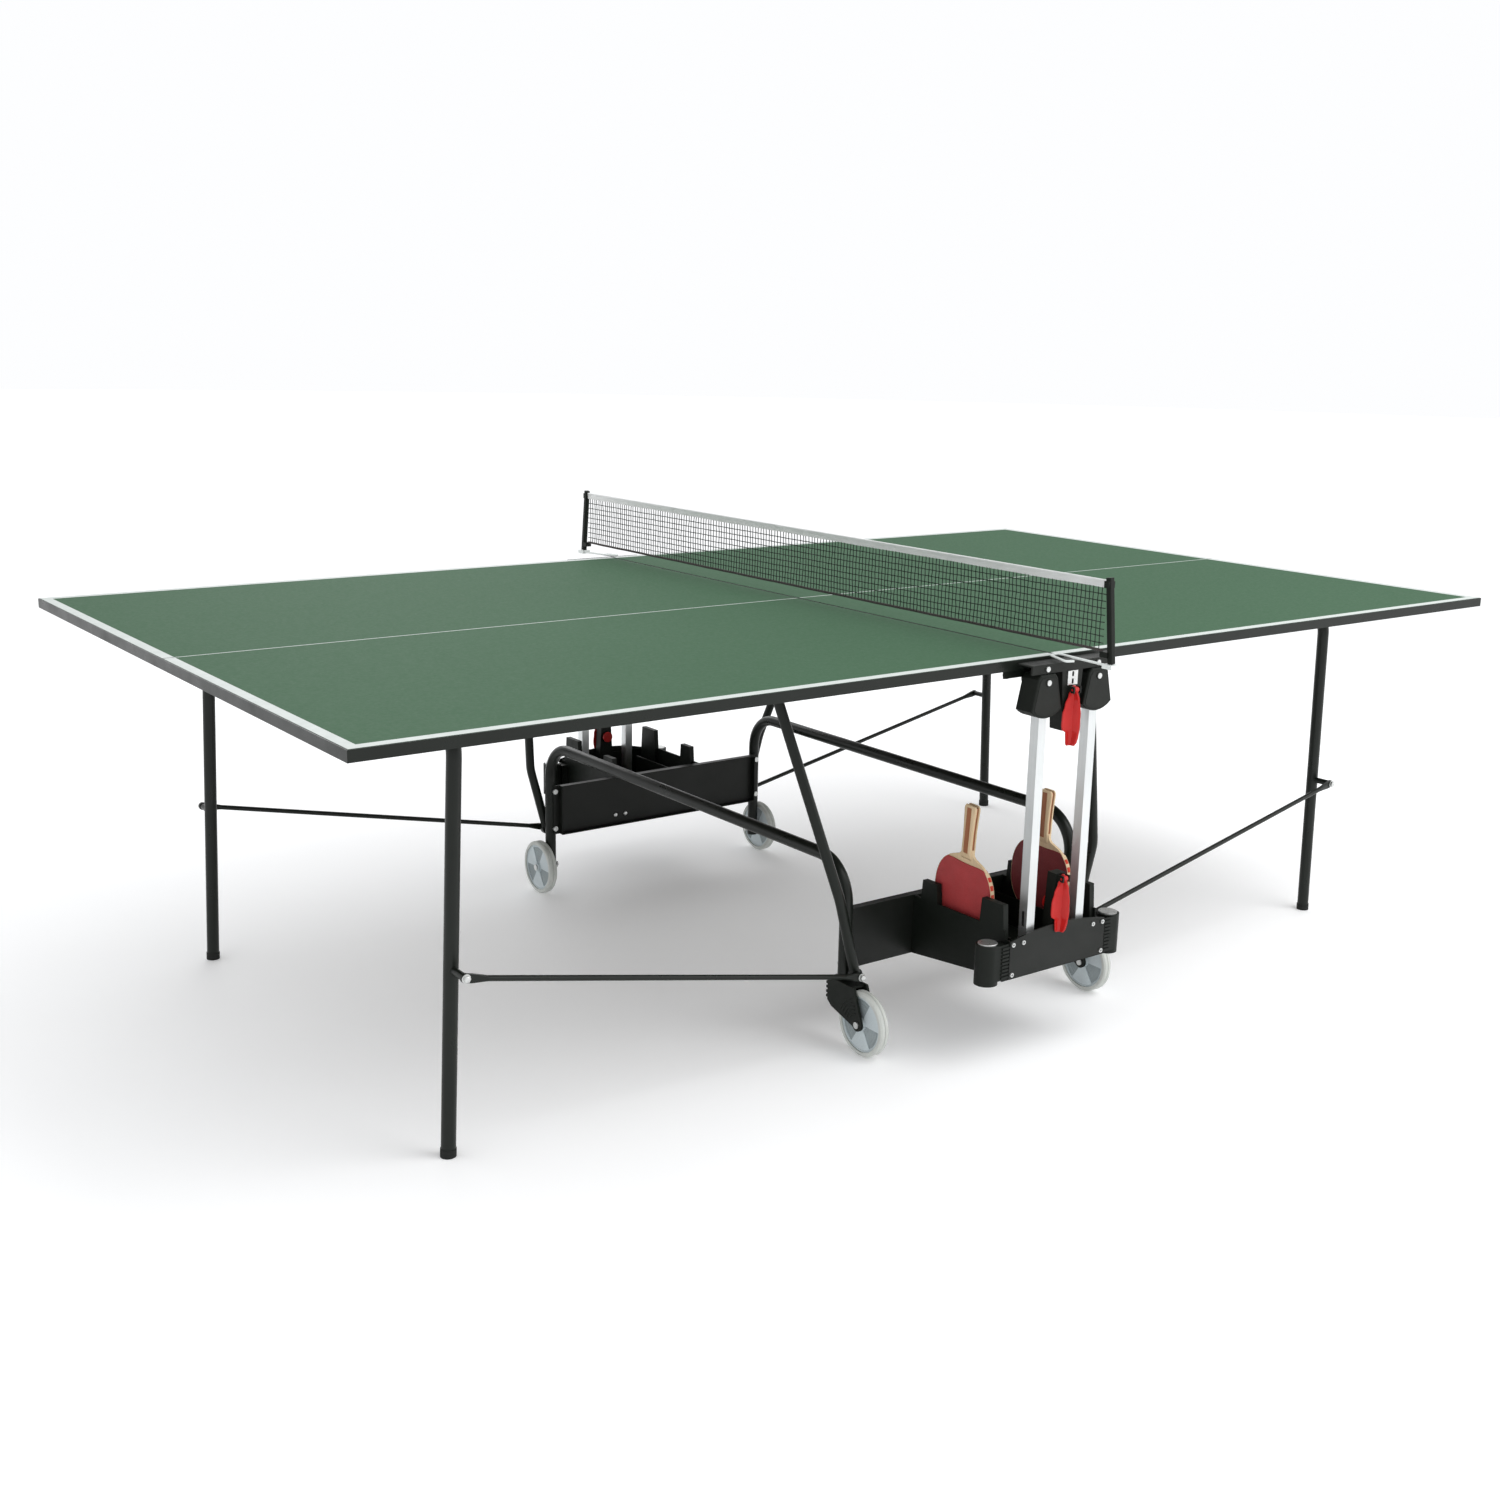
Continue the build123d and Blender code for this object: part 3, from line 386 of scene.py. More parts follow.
BAT_FACES = {
    "left": bat_rubber("bat_rubber_left", (0.4, 0.04, 0.042)),
    "right": bat_rubber("bat_rubber_right", (0.2, 0.019, 0.022)),
}
PALE_WOOD = wood("pale_wood", (0.72, 0.56, 0.36), (0.55, 0.38, 0.2))
STRIPE_WOOD = wood("stripe_wood", (0.36, 0.13, 0.05), (0.22, 0.07, 0.026))
EDGE_TAPE = woven("bat_edge_tape", (0.78, 0.6, 0.38), 900)
DASH = woven("bat_edge_dash", (0.62, 0.045, 0.02), 900)


# ---------------------------------------------------------------- shapes


class Shape:
    """Collects closed surfaces, then becomes one piece that rides on a body."""

    def __init__(self):
        self.points = []
        self.faces = []

    def rings(self, rings):
        """Skins rings of equal length and closes both ends."""
        base = len(self.points)
        count = len(rings[0])
        for ring in rings:
            self.points.extend(Vector(p) for p in ring)
        for i in range(len(rings) - 1):
            for k in range(count):
                a = base + i * count + k
                b = base + i * count + (k + 1) % count
                self.faces.append((a, b, b + count, a + count))
        self.faces.append(tuple(reversed(range(base, base + count))))
        last = base + (len(rings) - 1) * count
        self.faces.append(tuple(range(last, last + count)))

    def tube(self, path, radii, sides=8):
        """Round tube along a path, with a radius for each point."""
        path = [Vector(p) for p in path]
        if isinstance(radii, float):
            radii = [radii] * len(path)
        rings = []
        normal = None
        for i, point in enumerate(path):
            along = (path[min(i + 1, len(path) - 1)] - path[max(i - 1, 0)]).normalized()
            if normal is None:
                helper = Vector((1, 0, 0)) if abs(along.x) < 0.9 else Vector((0, 1, 0))
                normal = along.cross(helper).normalized()
            normal = (normal - along * normal.dot(along)).normalized()
            other = along.cross(normal)
            rings.append(
                [
                    point + radii[i] * (cos(2 * pi * k / sides) * normal + sin(2 * pi * k / sides) * other)
                    for k in range(sides)
                ]
            )
        self.rings(rings)

    def outline(self, points, axis, low, high, edge=0.4 * MM):
        """Plate with a closed outline and softened edges, across one axis."""
        middle = [sum(p[i] for p in points) / len(points) for i in (0, 1)]
        size = max(abs(p[i] - middle[i]) for p in points for i in (0, 1))
        inner = 1 - edge / size

        def place(p, height, factor):
            u, v = (middle[i] + (p[i] - middle[i]) * factor for i in (0, 1))
            return {"x": (height, u, v), "y": (u, height, v), "z": (u, v, height)}[axis]

        step = edge if high > low else -edge
        levels = ((low, inner), (low + step, 1), (high - step, 1), (high, inner))
        self.rings([[place(p, height, factor) for p in points] for height, factor in levels])

    def turned(self, centre, axis, profile, sides=32):
        """Surface turned about an axis through a centre; the profile lists (radius, height)."""
        axis = Vector(axis)
        helper = Vector((0, 0, 1)) if abs(axis.z) < 0.9 else Vector((1, 0, 0))
        u = axis.cross(helper).normalized()
        v = axis.cross(u)
        rings = []
        for radius, height in profile:
            ring = []
            for k in range(sides):
                turn = 2 * pi * k / sides
                ring.append(Vector(centre) + axis * height + radius * (cos(turn) * u + sin(turn) * v))
            rings.append(ring)
        self.rings(rings)

    def piece(self, name, finish, body, slot, angle=32):
        """Makes the mesh, smooth up to an angle between faces, and lets it ride on a body."""
        mesh = bpy.data.meshes.new(name)
        mesh.from_pydata(self.points, [], self.faces)
        work = bmesh.new()
        work.from_mesh(mesh)
        bmesh.ops.recalc_face_normals(work, faces=work.faces)
        work.to_mesh(mesh)
        work.free()
        mesh.shade_smooth()
        mesh.set_sharp_from_angle(angle=radians(angle))
        obj = bpy.data.objects.new(name, mesh)
        bpy.context.scene.collection.objects.link(obj)
        mesh.materials.append(finish.material)
        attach(obj, body)
        return obj


def rectangle(u0, u1, v0, v1):
    """Corners of a rectangle between two pairs of limits."""
    return [(u0, v0), (u1, v0), (u1, v1), (u0, v1)]


def hexagon(u, v, flats):
    """Corners of a six-sided head, from its width across flats."""
    reach = flats / 2 / cos(pi / 6)
    return [(u + reach * cos(pi / 3 * k), v + reach * sin(pi / 3 * k)) for k in range(6)]


def sector(u, v, inner, outer, start, end, steps=10):
    """Outline of part of a ring, between two angles in degrees."""
    angles = [radians(start + (end - start) * k / steps) for k in range(steps + 1)]
    rim = [(u + outer * cos(a), v + outer * sin(a)) for a in angles]
    return rim + [(u + inner * cos(a), v + inner * sin(a)) for a in reversed(angles)]


# ---------------------------------------------------------------- frame's own nodes


def paint(finish, *names):
    """Gives a finish to nodes of the frame."""
    for name in names:
        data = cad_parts[name].data
        data.materials.clear()
        data.materials.append(finish.material)


def both(*names):
    """Names of nodes that each half has one of."""
    return [f"{name}_{half}" for name in names for half in HALVES]


def paint_frame():
    """Finishes of the frame's own nodes."""
    paint(BOARD, *both("board"))
    paint(STEEL, *both("edge_frame", "support_frame", "leg_frame", "braces"), "u_tubes")
    paint(PLATE_STEEL, "side_panel_near", "side_panel_far", "front_plates")
    paint(PLASTIC, *both("bar_saddles", "slider_caps", "caster_fork"), "corner_guards", "lock_towers")
    paint(PLASTIC, "tray_near", "tray_far", "net_posts")
    paint(CAP_PLASTIC, "bridge_near", "bridge_far")
    paint(RUBBER, *both("foot_caps"))
    paint(ZINC, *both("pivot_pins", "caster_axle"), "corner_caps", "frame_screws", "rear_axles")
    paint(ZINC, "strike_plates")
    paint(ANODISED, "posts")
    paint(WHEEL, *both("caster_hub", "rear_hub"))
    paint(TYRE, *both("caster_tyre", "rear_tyre"))
    for side in SIDES:
        paint(RED, f"upper_lever_{side}", f"lower_lever_{side}", f"lock_plunger_{side}")
    paint(WHITE, "net_brackets")
    paint(CORD, "net")
    paint(TAPE, "net_tape")
    paint(PALE_WOOD, *both("bat"))


# ---------------------------------------------------------------- playing surface


def add_lines(half):
    """Painted lines: both sides, the outer end and the narrow middle line."""
    low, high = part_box(f"board_{half}")
    wide = 20 * MM
    narrow = 3 * MM
    bottom, top = high.z - 0.2 * MM, high.z + 0.25 * MM
    shape = Shape()
    for strip in (
        rectangle(low.x, high.x, low.y, low.y + wide),
        rectangle(low.x, high.x, high.y - wide, high.y),
        rectangle(low.x, high.x, -narrow / 2, narrow / 2),
        rectangle(
            *((low.x, low.x + wide) if half == "left" else (high.x - wide, high.x)),
            low.y + wide - 0.1 * MM,
            high.y - wide + 0.1 * MM,
        ),
    ):
        shape.outline(strip, "z", bottom, top, 0.1 * MM)
    shape.piece(f"lines_{half}", LINE, f"half_{half}", "tape_fabric")


def add_backing(half):
    """Bare pressed face on the underside of the board, inside the rim's lip."""
    low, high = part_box(f"board_{half}")
    inset = 23 * MM
    shape = Shape()
    sheet = rectangle(low.x + inset, high.x - inset, low.y + inset, high.y - inset)
    shape.outline(sheet, "z", low.z - 0.3 * MM, low.z + 0.3 * MM, 0.1 * MM)
    shape.piece(f"backing_{half}", HARDBOARD, f"half_{half}", "playing_surface")


# ---------------------------------------------------------------- net


def net_sway(y, z, low, high):
    """Small sideways wander of the net between its taut top and its hem."""
    slack = sin(pi * (z - low) / (high - low))
    return slack * 1.2 * MM * (sin(9 * y + 0.6) + 0.6 * sin(23 * y + 2))


def add_net():
    """Knotted net of thin cords, with a folded hem below."""
    low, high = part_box("net")
    columns = 174
    rows = 9
    cord = 0.85 * MM
    knot = 1.35 * MM
    bottom, top = low.z + 3 * MM, high.z + 1 * MM
    step = (top - bottom) / rows
    pitch = (high.y - low.y) / columns
    knots = {}
    for i in range(1, columns):
        lean = random.uniform(-1.0, 1.0) * MM
        for j in range(rows + 1):
            y = low.y + i * pitch + lean * j / rows + random.uniform(-0.9, 0.9) * MM
            z = bottom + j * step + random.uniform(-0.35, 0.35) * MM
            knots[i, j] = Vector((net_sway(y, z, bottom, top), y, z))
    shape = Shape()
    for i in range(1, columns):
        path = []
        radii = []
        for j in range(rows):
            here, above = knots[i, j], knots[i, j + 1]
            path.extend((here, here.lerp(above, 0.12), here.lerp(above, 0.88)))
            radii.extend((knot, cord, cord))
        path.append(knots[i, rows])
        radii.append(knot)
        shape.tube(path, radii, 6)
    for j in range(1, rows):
        path = [Vector((0, low.y, bottom + j * step))]
        path.extend(knots[i, j] for i in range(1, columns))
        path.append(Vector((0, high.y, bottom + j * step)))
        shape.tube(path, cord, 6)
    net = shape.piece("net_cords", CORD, "trolley", "net_fabric", 60)
    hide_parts("net")
    hem = add_hem(low, high)


def add_hem(low, high):
    """Rolled edge of the net with the bottom cord inside it."""
    shape = Shape()
    rings = []
    steps = 160
    around = 10
    for k in range(steps + 1):
        y = low.y + (high.y - low.y) * k / steps
        drift = 0.3 * MM * sin(31 * y) + 0.2 * MM * sin(83 * y + 1)
        half = 1.25 * MM + 0.15 * MM * sin(57 * y)
        centre = low.z + 2.9 * MM + drift * 0.4
        ring = []
        for n in range(around):
            turn = 2 * pi * n / around
            ring.append((half * cos(turn) + drift, y, centre + 2.6 * MM * sin(turn)))
        rings.append(ring)
    shape.rings(rings)
    return shape.piece("net_hem", HEM, "trolley", "net_fabric", 60)


def tape_droop(y):
    """Height by which the tape's lower edges wander along the net."""
    return 0.35 * MM * sin(13 * y + 1) + 0.2 * MM * sin(37 * y)


def tape_section(y, foot, top):
    """The band's outer and inner faces, folded over the top cord."""
    cloth = 0.5 * MM
    bead = 2.1 * MM
    crown = top - bead - 0.2 * MM
    pucker = 0.12 * MM * sin(190 * y) + 0.1 * MM * sin(71 * y + 2)
    outer = [(1.1 * MM + pucker, foot + tape_droop(y)), (1.0 * MM + pucker, (foot + crown) / 2)]
    outer += [(bead * cos(a), crown + bead * sin(a)) for a in (radians(t) for t in range(-20, 91, 22))]
    fold = outer + [(-x, z) for x, z in reversed(outer[:-1])]
    inner = []
    for x, z in reversed(fold):
        inset = cloth * (1 if x > 0 else -1) * min(1, abs(x) / bead * 2)
        inner.append((x - inset, min(z, top - cloth * 2)))
    return [(x, y, z) for x, z in fold + inner]


def add_stitches(low, high, foot):
    """A row of short stitches on each face of the tape, near its lower edges."""
    shape = Shape()
    pitch = 4.5 * MM
    face_x = 1.15 * MM
    count = int((high.y - low.y) / pitch) - 1
    for k in range(count):
        y = low.y + pitch * (k + 0.7)
        z = foot + 3 * MM + tape_droop(y)
        for face in (-1, 1):
            x = face * face_x
            path = [
                (x * 0.6, y, z),
                (x * 1.25, y + 0.8 * MM, z),
                (x * 1.25, y + 2.2 * MM, z),
                (x * 0.6, y + 3 * MM, z),
            ]
            shape.tube(path, 0.22 * MM, 5)
    return shape.piece("net_tape_stitches", THREAD, "trolley", "tape_fabric", 60)


def add_tape():
    """White band folded over the top cord and stitched near its lower edges."""
    low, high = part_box("net_tape")
    foot = low.z + 0.2 * MM
    length = high.y - low.y
    steps = 200
    shape = Shape()
    shape.rings([tape_section(low.y + length * k / steps, foot, high.z) for k in range(steps + 1)])
    tape = shape.piece("net_tape_band", TAPE, "trolley", "tape_fabric", 60)
    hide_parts("net_tape")
    thread = add_stitches(low, high, foot)


# ---------------------------------------------------------------- bats


# How the bats stand in their holders, and the make-up of a blade
BAT_LEAN = {"left": radians(4), "right": radians(2)}
BAT_SHIFT = {"left": 8 * MM, "right": 3 * MM}
SQUARENESS = 2.35
PLY = 3 * MM
SPONGE = 1.9 * MM
BLADE_HALF_HEIGHT = 78 * MM
HANDLE_FOOT = 72 * MM


def signed_power(value, power):
    """A power that keeps the sign."""
    return (1 if value > 0 else -1) * abs(value) ** power


def blade_point(turn, half_width, half_height):
    """Place on the blade's rim at an angle: an ellipse with fuller corners."""
    power = 2 / SQUARENESS
    y = half_width * signed_power(cos(turn), power)
    z = half_height * signed_power(sin(turn), power)
    return Vector((0, y, z))


def blade_outline(centre, half_width, half_height, cut, neck):
    """The rim from one shoulder round to the other, closed by the neck's points."""
    start = asin((cut / half_height) ** (SQUARENESS / 2))
    steps = 56
    turns = [start - (pi + 2 * start) * k / steps for k in range(steps + 1)]
    points = [centre + blade_point(turn, half_width, half_height) for turn in turns]
    points += [centre + Vector((0, -y * MM, z * MM)) for y, z in neck]
    points += [centre + Vector((0, y * MM, z * MM)) for y, z in reversed(neck)]
    return [(p.y, p.z) for p in points]


def edge_strip(shape, centre, turns, half_width, wide, thick):
    """Adds a band that lies round part of the blade's edge."""
    nudge = 0.01
    across = Vector((1, 0, 0))
    section = [(-wide, -0.3 * MM), (-wide, thick * 0.5), (-wide + 0.5 * MM, thick)]
    section += [(-x, h) for x, h in reversed(section)]
    rings = []
    for turn in turns:
        here = centre + blade_point(turn, half_width, BLADE_HALF_HEIGHT)
        ahead = blade_point(turn + nudge, half_width, BLADE_HALF_HEIGHT)
        behind = blade_point(turn - nudge, half_width, BLADE_HALF_HEIGHT)
        along = (ahead - behind).normalized()
        out = Vector((0, along.z, -along.y))
        rings.append([here + across * x + out * h for x, h in section])
    shape.rings(rings)


def handle_scale(centre, sign, top):
    """Rings of one handle scale, and of the darker strip on it."""
    foot = centre.z + HANDLE_FOOT
    strip_half = 5.6 * MM
    steps = 26
    around = 16
    tip_start = 0.94
    rings = []
    strip = []
    for k in range(steps + 1):
        t = k / steps
        z = foot + (top - foot) * t
        width = (13.4 - 1.2 * sin(pi * min(1, t * 1.1)) + 2.2 * t**2) * MM
        depth = (7.8 + 0.6 * t) * MM
        ramp = min(1, t * 6) ** 0.5
        tip = 1 if t < tip_start else 1 - ((t - tip_start) / (1 - tip_start)) ** 2 * 0.2
        reach = (depth - PLY) * ramp * tip
        ring = []
        for n in range(around + 1):
            turn = -pi / 2 + pi * n / around
            x = sign * (PLY - 0.1 * MM + reach * abs(cos(turn)) ** 0.4)
            y = width * signed_power(sin(turn), 0.7) * tip
            ring.append((centre.x + x, centre.y + y, z))
        rings.append(ring)
        low, high = PLY + reach - 0.8 * MM, PLY + reach + 0.2 * MM
        corners = ((low, -strip_half), (high, -strip_half), (high, strip_half), (low, strip_half))
        strip.append([(centre.x + sign * x, centre.y + y, z) for x, y in corners])
    return rings, strip[3:-1]


def add_bat_handle(half, centre, top):
    """Two rounded scales on a flat tongue, each with a darker strip down its middle."""
    body = f"bat_{half}"
    scales = Shape()
    stripe = Shape()
    for sign in (-1, 1):
        rings, strip = handle_scale(centre, sign, top)
        scales.rings(rings)
        stripe.rings(strip)
    pieces = [scales.piece(f"bat_{half}_handle", PALE_WOOD, body, "bat_wood", 50)]
    pieces.append(stripe.piece(f"bat_{half}_handle_stripe", STRIPE_WOOD, body, "bat_wood", 50))
    core = Shape()
    tongue = [(-11.6, 84), (11.6, 84), (11, 130), (13.2, 175), (-13.2, 175), (-11, 130)]
    points = [(centre.y + y * MM, min(centre.z + z * MM, top - 0.8 * MM)) for y, z in tongue]
    half_thick = PLY - 0.2 * MM
    core.outline(points, "x", centre.x - half_thick, centre.x + half_thick, 0.3 * MM)
    pieces.append(core.piece(f"bat_{half}_tongue", STRIPE_WOOD, body, "bat_wood"))
    return pieces


def add_bat_edge(half, centre, half_width):
    """Pale band round the blade's edge, with a row of red dashes on it."""
    count = 150
    spacing = 7
    dash = 5
    start = radians(48)
    turns = [start - (pi + 2 * start) * k / count for k in range(count + 1)]
    band = Shape()
    edge_strip(band, centre, turns, half_width, 4.7 * MM, 0.35 * MM)
    dashes = Shape()
    for first in range(2, count - dash, spacing):
        edge_strip(dashes, centre, turns[first : first + dash], half_width, 3.9 * MM, 0.65 * MM)
    body = f"bat_{half}"
    pieces = [band.piece(f"bat_{half}_edge_band", EDGE_TAPE, body, "bat_wood")]
    pieces.append(dashes.piece(f"bat_{half}_edge_dashes", DASH, body, "red_plastic"))
    return pieces


def add_bat(half):
    """Plywood blade with a rubber on each face, an edge band and a flared handle."""
    low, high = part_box(f"bat_{half}")
    body = f"bat_{half}"
    half_width = (high.y - low.y) / 2 - 1 * MM
    centre_z = low.z + BLADE_HALF_HEIGHT + 1 * MM
    centre = Vector(((low.x + high.x) / 2, (low.y + high.y) / 2, centre_z))

    shape = Shape()
    neck = [(30, 73.5), (21, 77), (16, 82), (13.4, 92)]
    shoulder = 69 * MM
    rim = blade_outline(centre, half_width, BLADE_HALF_HEIGHT, shoulder, neck)
    shape.outline(rim, "x", centre.x - PLY, centre.x + PLY)
    blade = shape.piece(f"bat_{half}_blade", PALE_WOOD, body, "bat_wood")
    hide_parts(f"bat_{half}")
    pieces = [blade]

    shape = Shape()
    top_edge = [(34, 64.6), (12, 63.4)]
    trim = 0.8 * MM
    corner = 64 * MM
    face = blade_outline(centre, half_width - trim, BLADE_HALF_HEIGHT - trim, corner, top_edge)
    for sign in (-1, 1):
        inner, outer = sign * (PLY - 0.1 * MM), sign * (PLY + SPONGE)
        shape.outline(face, "x", centre.x + inner, centre.x + outer, 0.5 * MM)
    pieces.append(shape.piece(f"bat_{half}_rubbers", BAT_FACES[half], body, "red_plastic"))

    pieces.extend(add_bat_edge(half, centre, half_width))
    pieces.extend(add_bat_handle(half, centre, high.z))
    lean = Matrix.Rotation(BAT_LEAN[half], 4, "X")
    moved = Matrix.Translation(centre + Vector((0, BAT_SHIFT[half], 0)))
    for piece in pieces:
        piece.data.transform(moved @ lean @ Matrix.Translation(-centre))


# ---------------------------------------------------------------- lock levers


# Millimetres below a lever's tip, and there its reach to the left, to the right and outwards
LEVER_LEFT = (
    (0, 3),
    (6, 6),
    (16, 12),
    (34, 20),
    (52, 25.5),
    (72, 26),
    (80, 24),
    (85, 15),
    (106, 13.5),
    (110, 11),
)
LEVER_RIGHT = ((0, 3), (6, 5), (16, 9), (34, 14), (56, 20), (78, 22), (98, 19), (107, 16), (110, 13))
LEVER_RIDGE = ((0, 7), (8, 11), (24, 16), (50, 19.4), (86, 18.8), (104, 16), (110, 12))
LEVER_RIM = 3.2


def between(table, drop):
    """Value of a (drop, value) table at a drop below the lever's tip."""
    for (d0, v0), (d1, v1) in zip(table, table[1:]):
        if drop <= d1:
            t = max(0, (drop - d0) / (d1 - d0))
            return v0 + (v1 - v0) * t * t * (3 - 2 * t)
    return table[-1][1]


def lever_section(drop, length):
    """Outline across a lever, in millimetres: thin rims, hollow flanks and a ridge."""
    left, right, ridge = (between(t, drop) for t in (LEVER_LEFT, LEVER_RIGHT, LEVER_RIDGE))
    middle = 3.6 * sin(pi * drop / length) - 1
    rise = ridge - LEVER_RIM
    return [
        (-left, 0.6),
        (-left - 0.3, LEVER_RIM * 0.6),
        (-left + 0.6, LEVER_RIM),
        (-left * 0.6 + middle * 0.4, LEVER_RIM - 0.6),
        (-left * 0.25 + middle * 0.75, LEVER_RIM + 0.22 * rise),
        (middle - 2.4, ridge - 1.6),
        (middle, ridge),
        (middle + 1.6, ridge - 1.2),
        (right * 0.4 + middle * 0.6, LEVER_RIM + 0.35 * rise),
        (right - 0.6, LEVER_RIM),
        (right + 0.3, LEVER_RIM * 0.6),
        (right, 0.6),
        (middle, 0.0),
    ]


def add_lever(kind, side):
    """Leaf-shaped grip with hollow flanks and a raised ridge, on its round barrel."""
    node = f"{kind}_lever_{side}"
    low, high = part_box(node)
    sign = SIDES[side]
    back = min(abs(low.y), abs(high.y)) + 1 * MM
    length = (high.z - low.z) / MM
    steps = 44
    rings = []
    for k in range(steps + 1):
        drop = length * k / steps
        section = lever_section(drop, length)
        rings.append([(-sign * x * MM, sign * (back + y * MM), high.z - drop * MM) for x, y in section])
    shape = Shape()
    shape.rings(rings)
    barrel_y = sign * (back + 6 * MM)
    barrel_z = high.z - 7 * MM
    half_barrel = [(4.4, 4.8), (5, 4.2), (5.1, 2.2), (9.4, 2.2)]
    barrel = [(-x, radius) for x, radius in reversed(half_barrel)] + half_barrel
    path = [(x * MM, barrel_y, barrel_z) for x, radius in barrel]
    shape.tube(path, [radius * MM for x, radius in barrel], 24)
    lever = shape.piece(f"{node}_grip", RED, node, "red_plastic", 40)
    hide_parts(node)


# ---------------------------------------------------------------- bolts and small trim


def add_bolt_heads(name, body, place, low, high):
    """Domed six-sided heads on both sides, between two distances from the table's middle."""
    x, z = place
    flats = 11.4 * MM
    head = hexagon(x, z, flats)
    washer = [
        (flats * 0.62, 0),
        (flats * 0.68, 0.3 * MM),
        (flats * 0.68, 0.9 * MM),
        (flats * 0.6, 1.2 * MM),
    ]
    crown = [
        (flats * 0.42, 0),
        (flats * 0.36, 0.6 * MM),
        (flats * 0.22, 1.0 * MM),
        (flats * 0.06, 1.1 * MM),
    ]
    shape = Shape()
    for side in SIDES.values():
        shape.outline(head, "y", side * (low + 0.8 * MM), side * (high + 0.4 * MM), 0.8 * MM)
        shape.turned((x, side * (low - 0.1 * MM), z), (0, side, 0), washer)
        shape.turned((x, side * (high + 0.3 * MM), z), (0, side, 0), crown)
    shape.piece(name, ZINC, body, "zinc_steel")


def add_bolts(half):
    """Bolts where the braces meet the legs and the trolley."""
    sign = HALVES[half]
    stud = (sign * BRACE_STUD[0], BRACE_STUD[1])
    pivot = (sign * TROLLEY_PIVOT[0], TROLLEY_PIVOT[1])
    add_bolt_heads(f"leg_bolts_{half}", f"legs_{half}", stud, 597.6 * MM, 602.6 * MM)
    add_bolt_heads(f"brace_bolts_{half}", f"brace_{half}", pivot, 597 * MM, 603 * MM)


def add_screw_shade():
    """Dark crosses on the plate screws: painted shade of their cross recesses."""
    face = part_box("front_plates")[1].y + 2.2 * MM
    arm, half = 2.6 * MM, 0.55 * MM
    cross = [(-half, arm), (half, arm), (half, half), (arm, half), (arm, -half), (half, -half)]
    cross += [(-p, -q) for p, q in cross]
    shape = Shape()
    for side in SIDES.values():
        for sign in HALVES.values():
            for x, z in ((118, 183), (118, 241), (92, 241)):
                points = [(sign * x * MM + p, z * MM + q) for p, q in cross]
                shape.outline(points, "y", side * (face - 0.3 * MM), side * (face + 0.12 * MM), 0.05 * MM)
    shape.piece("plate_screw_shade", RECESS_SHADE, "trolley", "black_rubber")


def middle_of(node):
    """Centre of a node's box."""
    low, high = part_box(node)
    return (low + high) / 2


def arc(centre, x, radius, start, end, steps):
    """Points on a circle across X round a wheel's centre, between two angles in degrees."""
    turns = [radians(start + (end - start) * k / steps) for k in range(steps + 1)]
    return [
        (centre.x + x * MM, centre.y + radius * MM * cos(a), centre.z + radius * MM * sin(a)) for a in turns
    ]


def add_sector_shade(node, body, name):
    """Darker plates and arcs in the sunk sectors of a wheel's two faces: painted shade in the recesses."""
    centre = middle_of(node)
    reach = (13.3 * MM, 48.2 * MM)
    half_span = 26.5
    shape = Shape()
    for sign in (-1, 1):
        for turn in (90, 210, 330):
            blade = sector(centre.y, centre.z, *reach, turn - half_span, turn + half_span)
            shape.outline(blade, "x", centre.x + sign * 4.9 * MM, centre.x + sign * 5.7 * MM, 0.3 * MM)
            for radius in (21, 27, 33, 39, 45):
                shape.tube(arc(centre, sign * 5.8, radius, turn - 24, turn + 24, 12), 0.4 * MM, 6)
    shape.piece(name, SECTOR_SHADE, body, "wheel_plastic")


def add_wheel_bearing(node, body, name):
    """Raised bead round the rim and a bearing ring at the hub's middle."""
    centre = middle_of(node)
    shape = Shape()
    for sign in (-1, 1):
        for radius, steps in ((51.5, 64), (11.6, 40)):
            shape.tube(arc(centre, sign * 7, radius, 0, 360, steps), 0.8 * MM, 8)
    shape.piece(name, WHEEL, body, "wheel_plastic", 60)


def add_fork_ribs(half):
    """Curved ribs on the fork's cheeks, concentric with the wheel."""
    centre = middle_of(f"caster_hub_{half}")
    shape = Shape()
    for sign in (-1, 1):
        for radius in (22, 29, 36, 43, 50):
            first, last = (14, 78) if radius < 40 else (20, 70)
            shape.tube(arc(centre, sign * 18, radius, first, last, 14), 1.1 * MM, 8)
    shape.piece(f"fork_ribs_{half}", PLASTIC, f"caster_{half}", "black_plastic", 60)


def bell(x, shrink):
    """Outline of a slider housing's face, drawn in by a margin, all in millimetres."""
    half_width, half_height = 38, 40
    skirt_z, skirt_drop = 672, 15
    middle_z = 697
    shoulder = [(18, 737), (25, 729), (half_width, skirt_z)]
    turns = [radians(t) for t in range(12, 169, 12)]
    skirt = [(half_width * cos(t), skirt_z - skirt_drop * sin(t)) for t in turns]
    points = shoulder + skirt + [(-u, v) for u, v in reversed(shoulder)]
    keep_u = 1 - shrink / half_width
    keep_v = 1 - shrink / half_height
    return [((x + u * keep_u) * MM, (middle_z + (v - middle_z) * keep_v) * MM) for u, v in points]


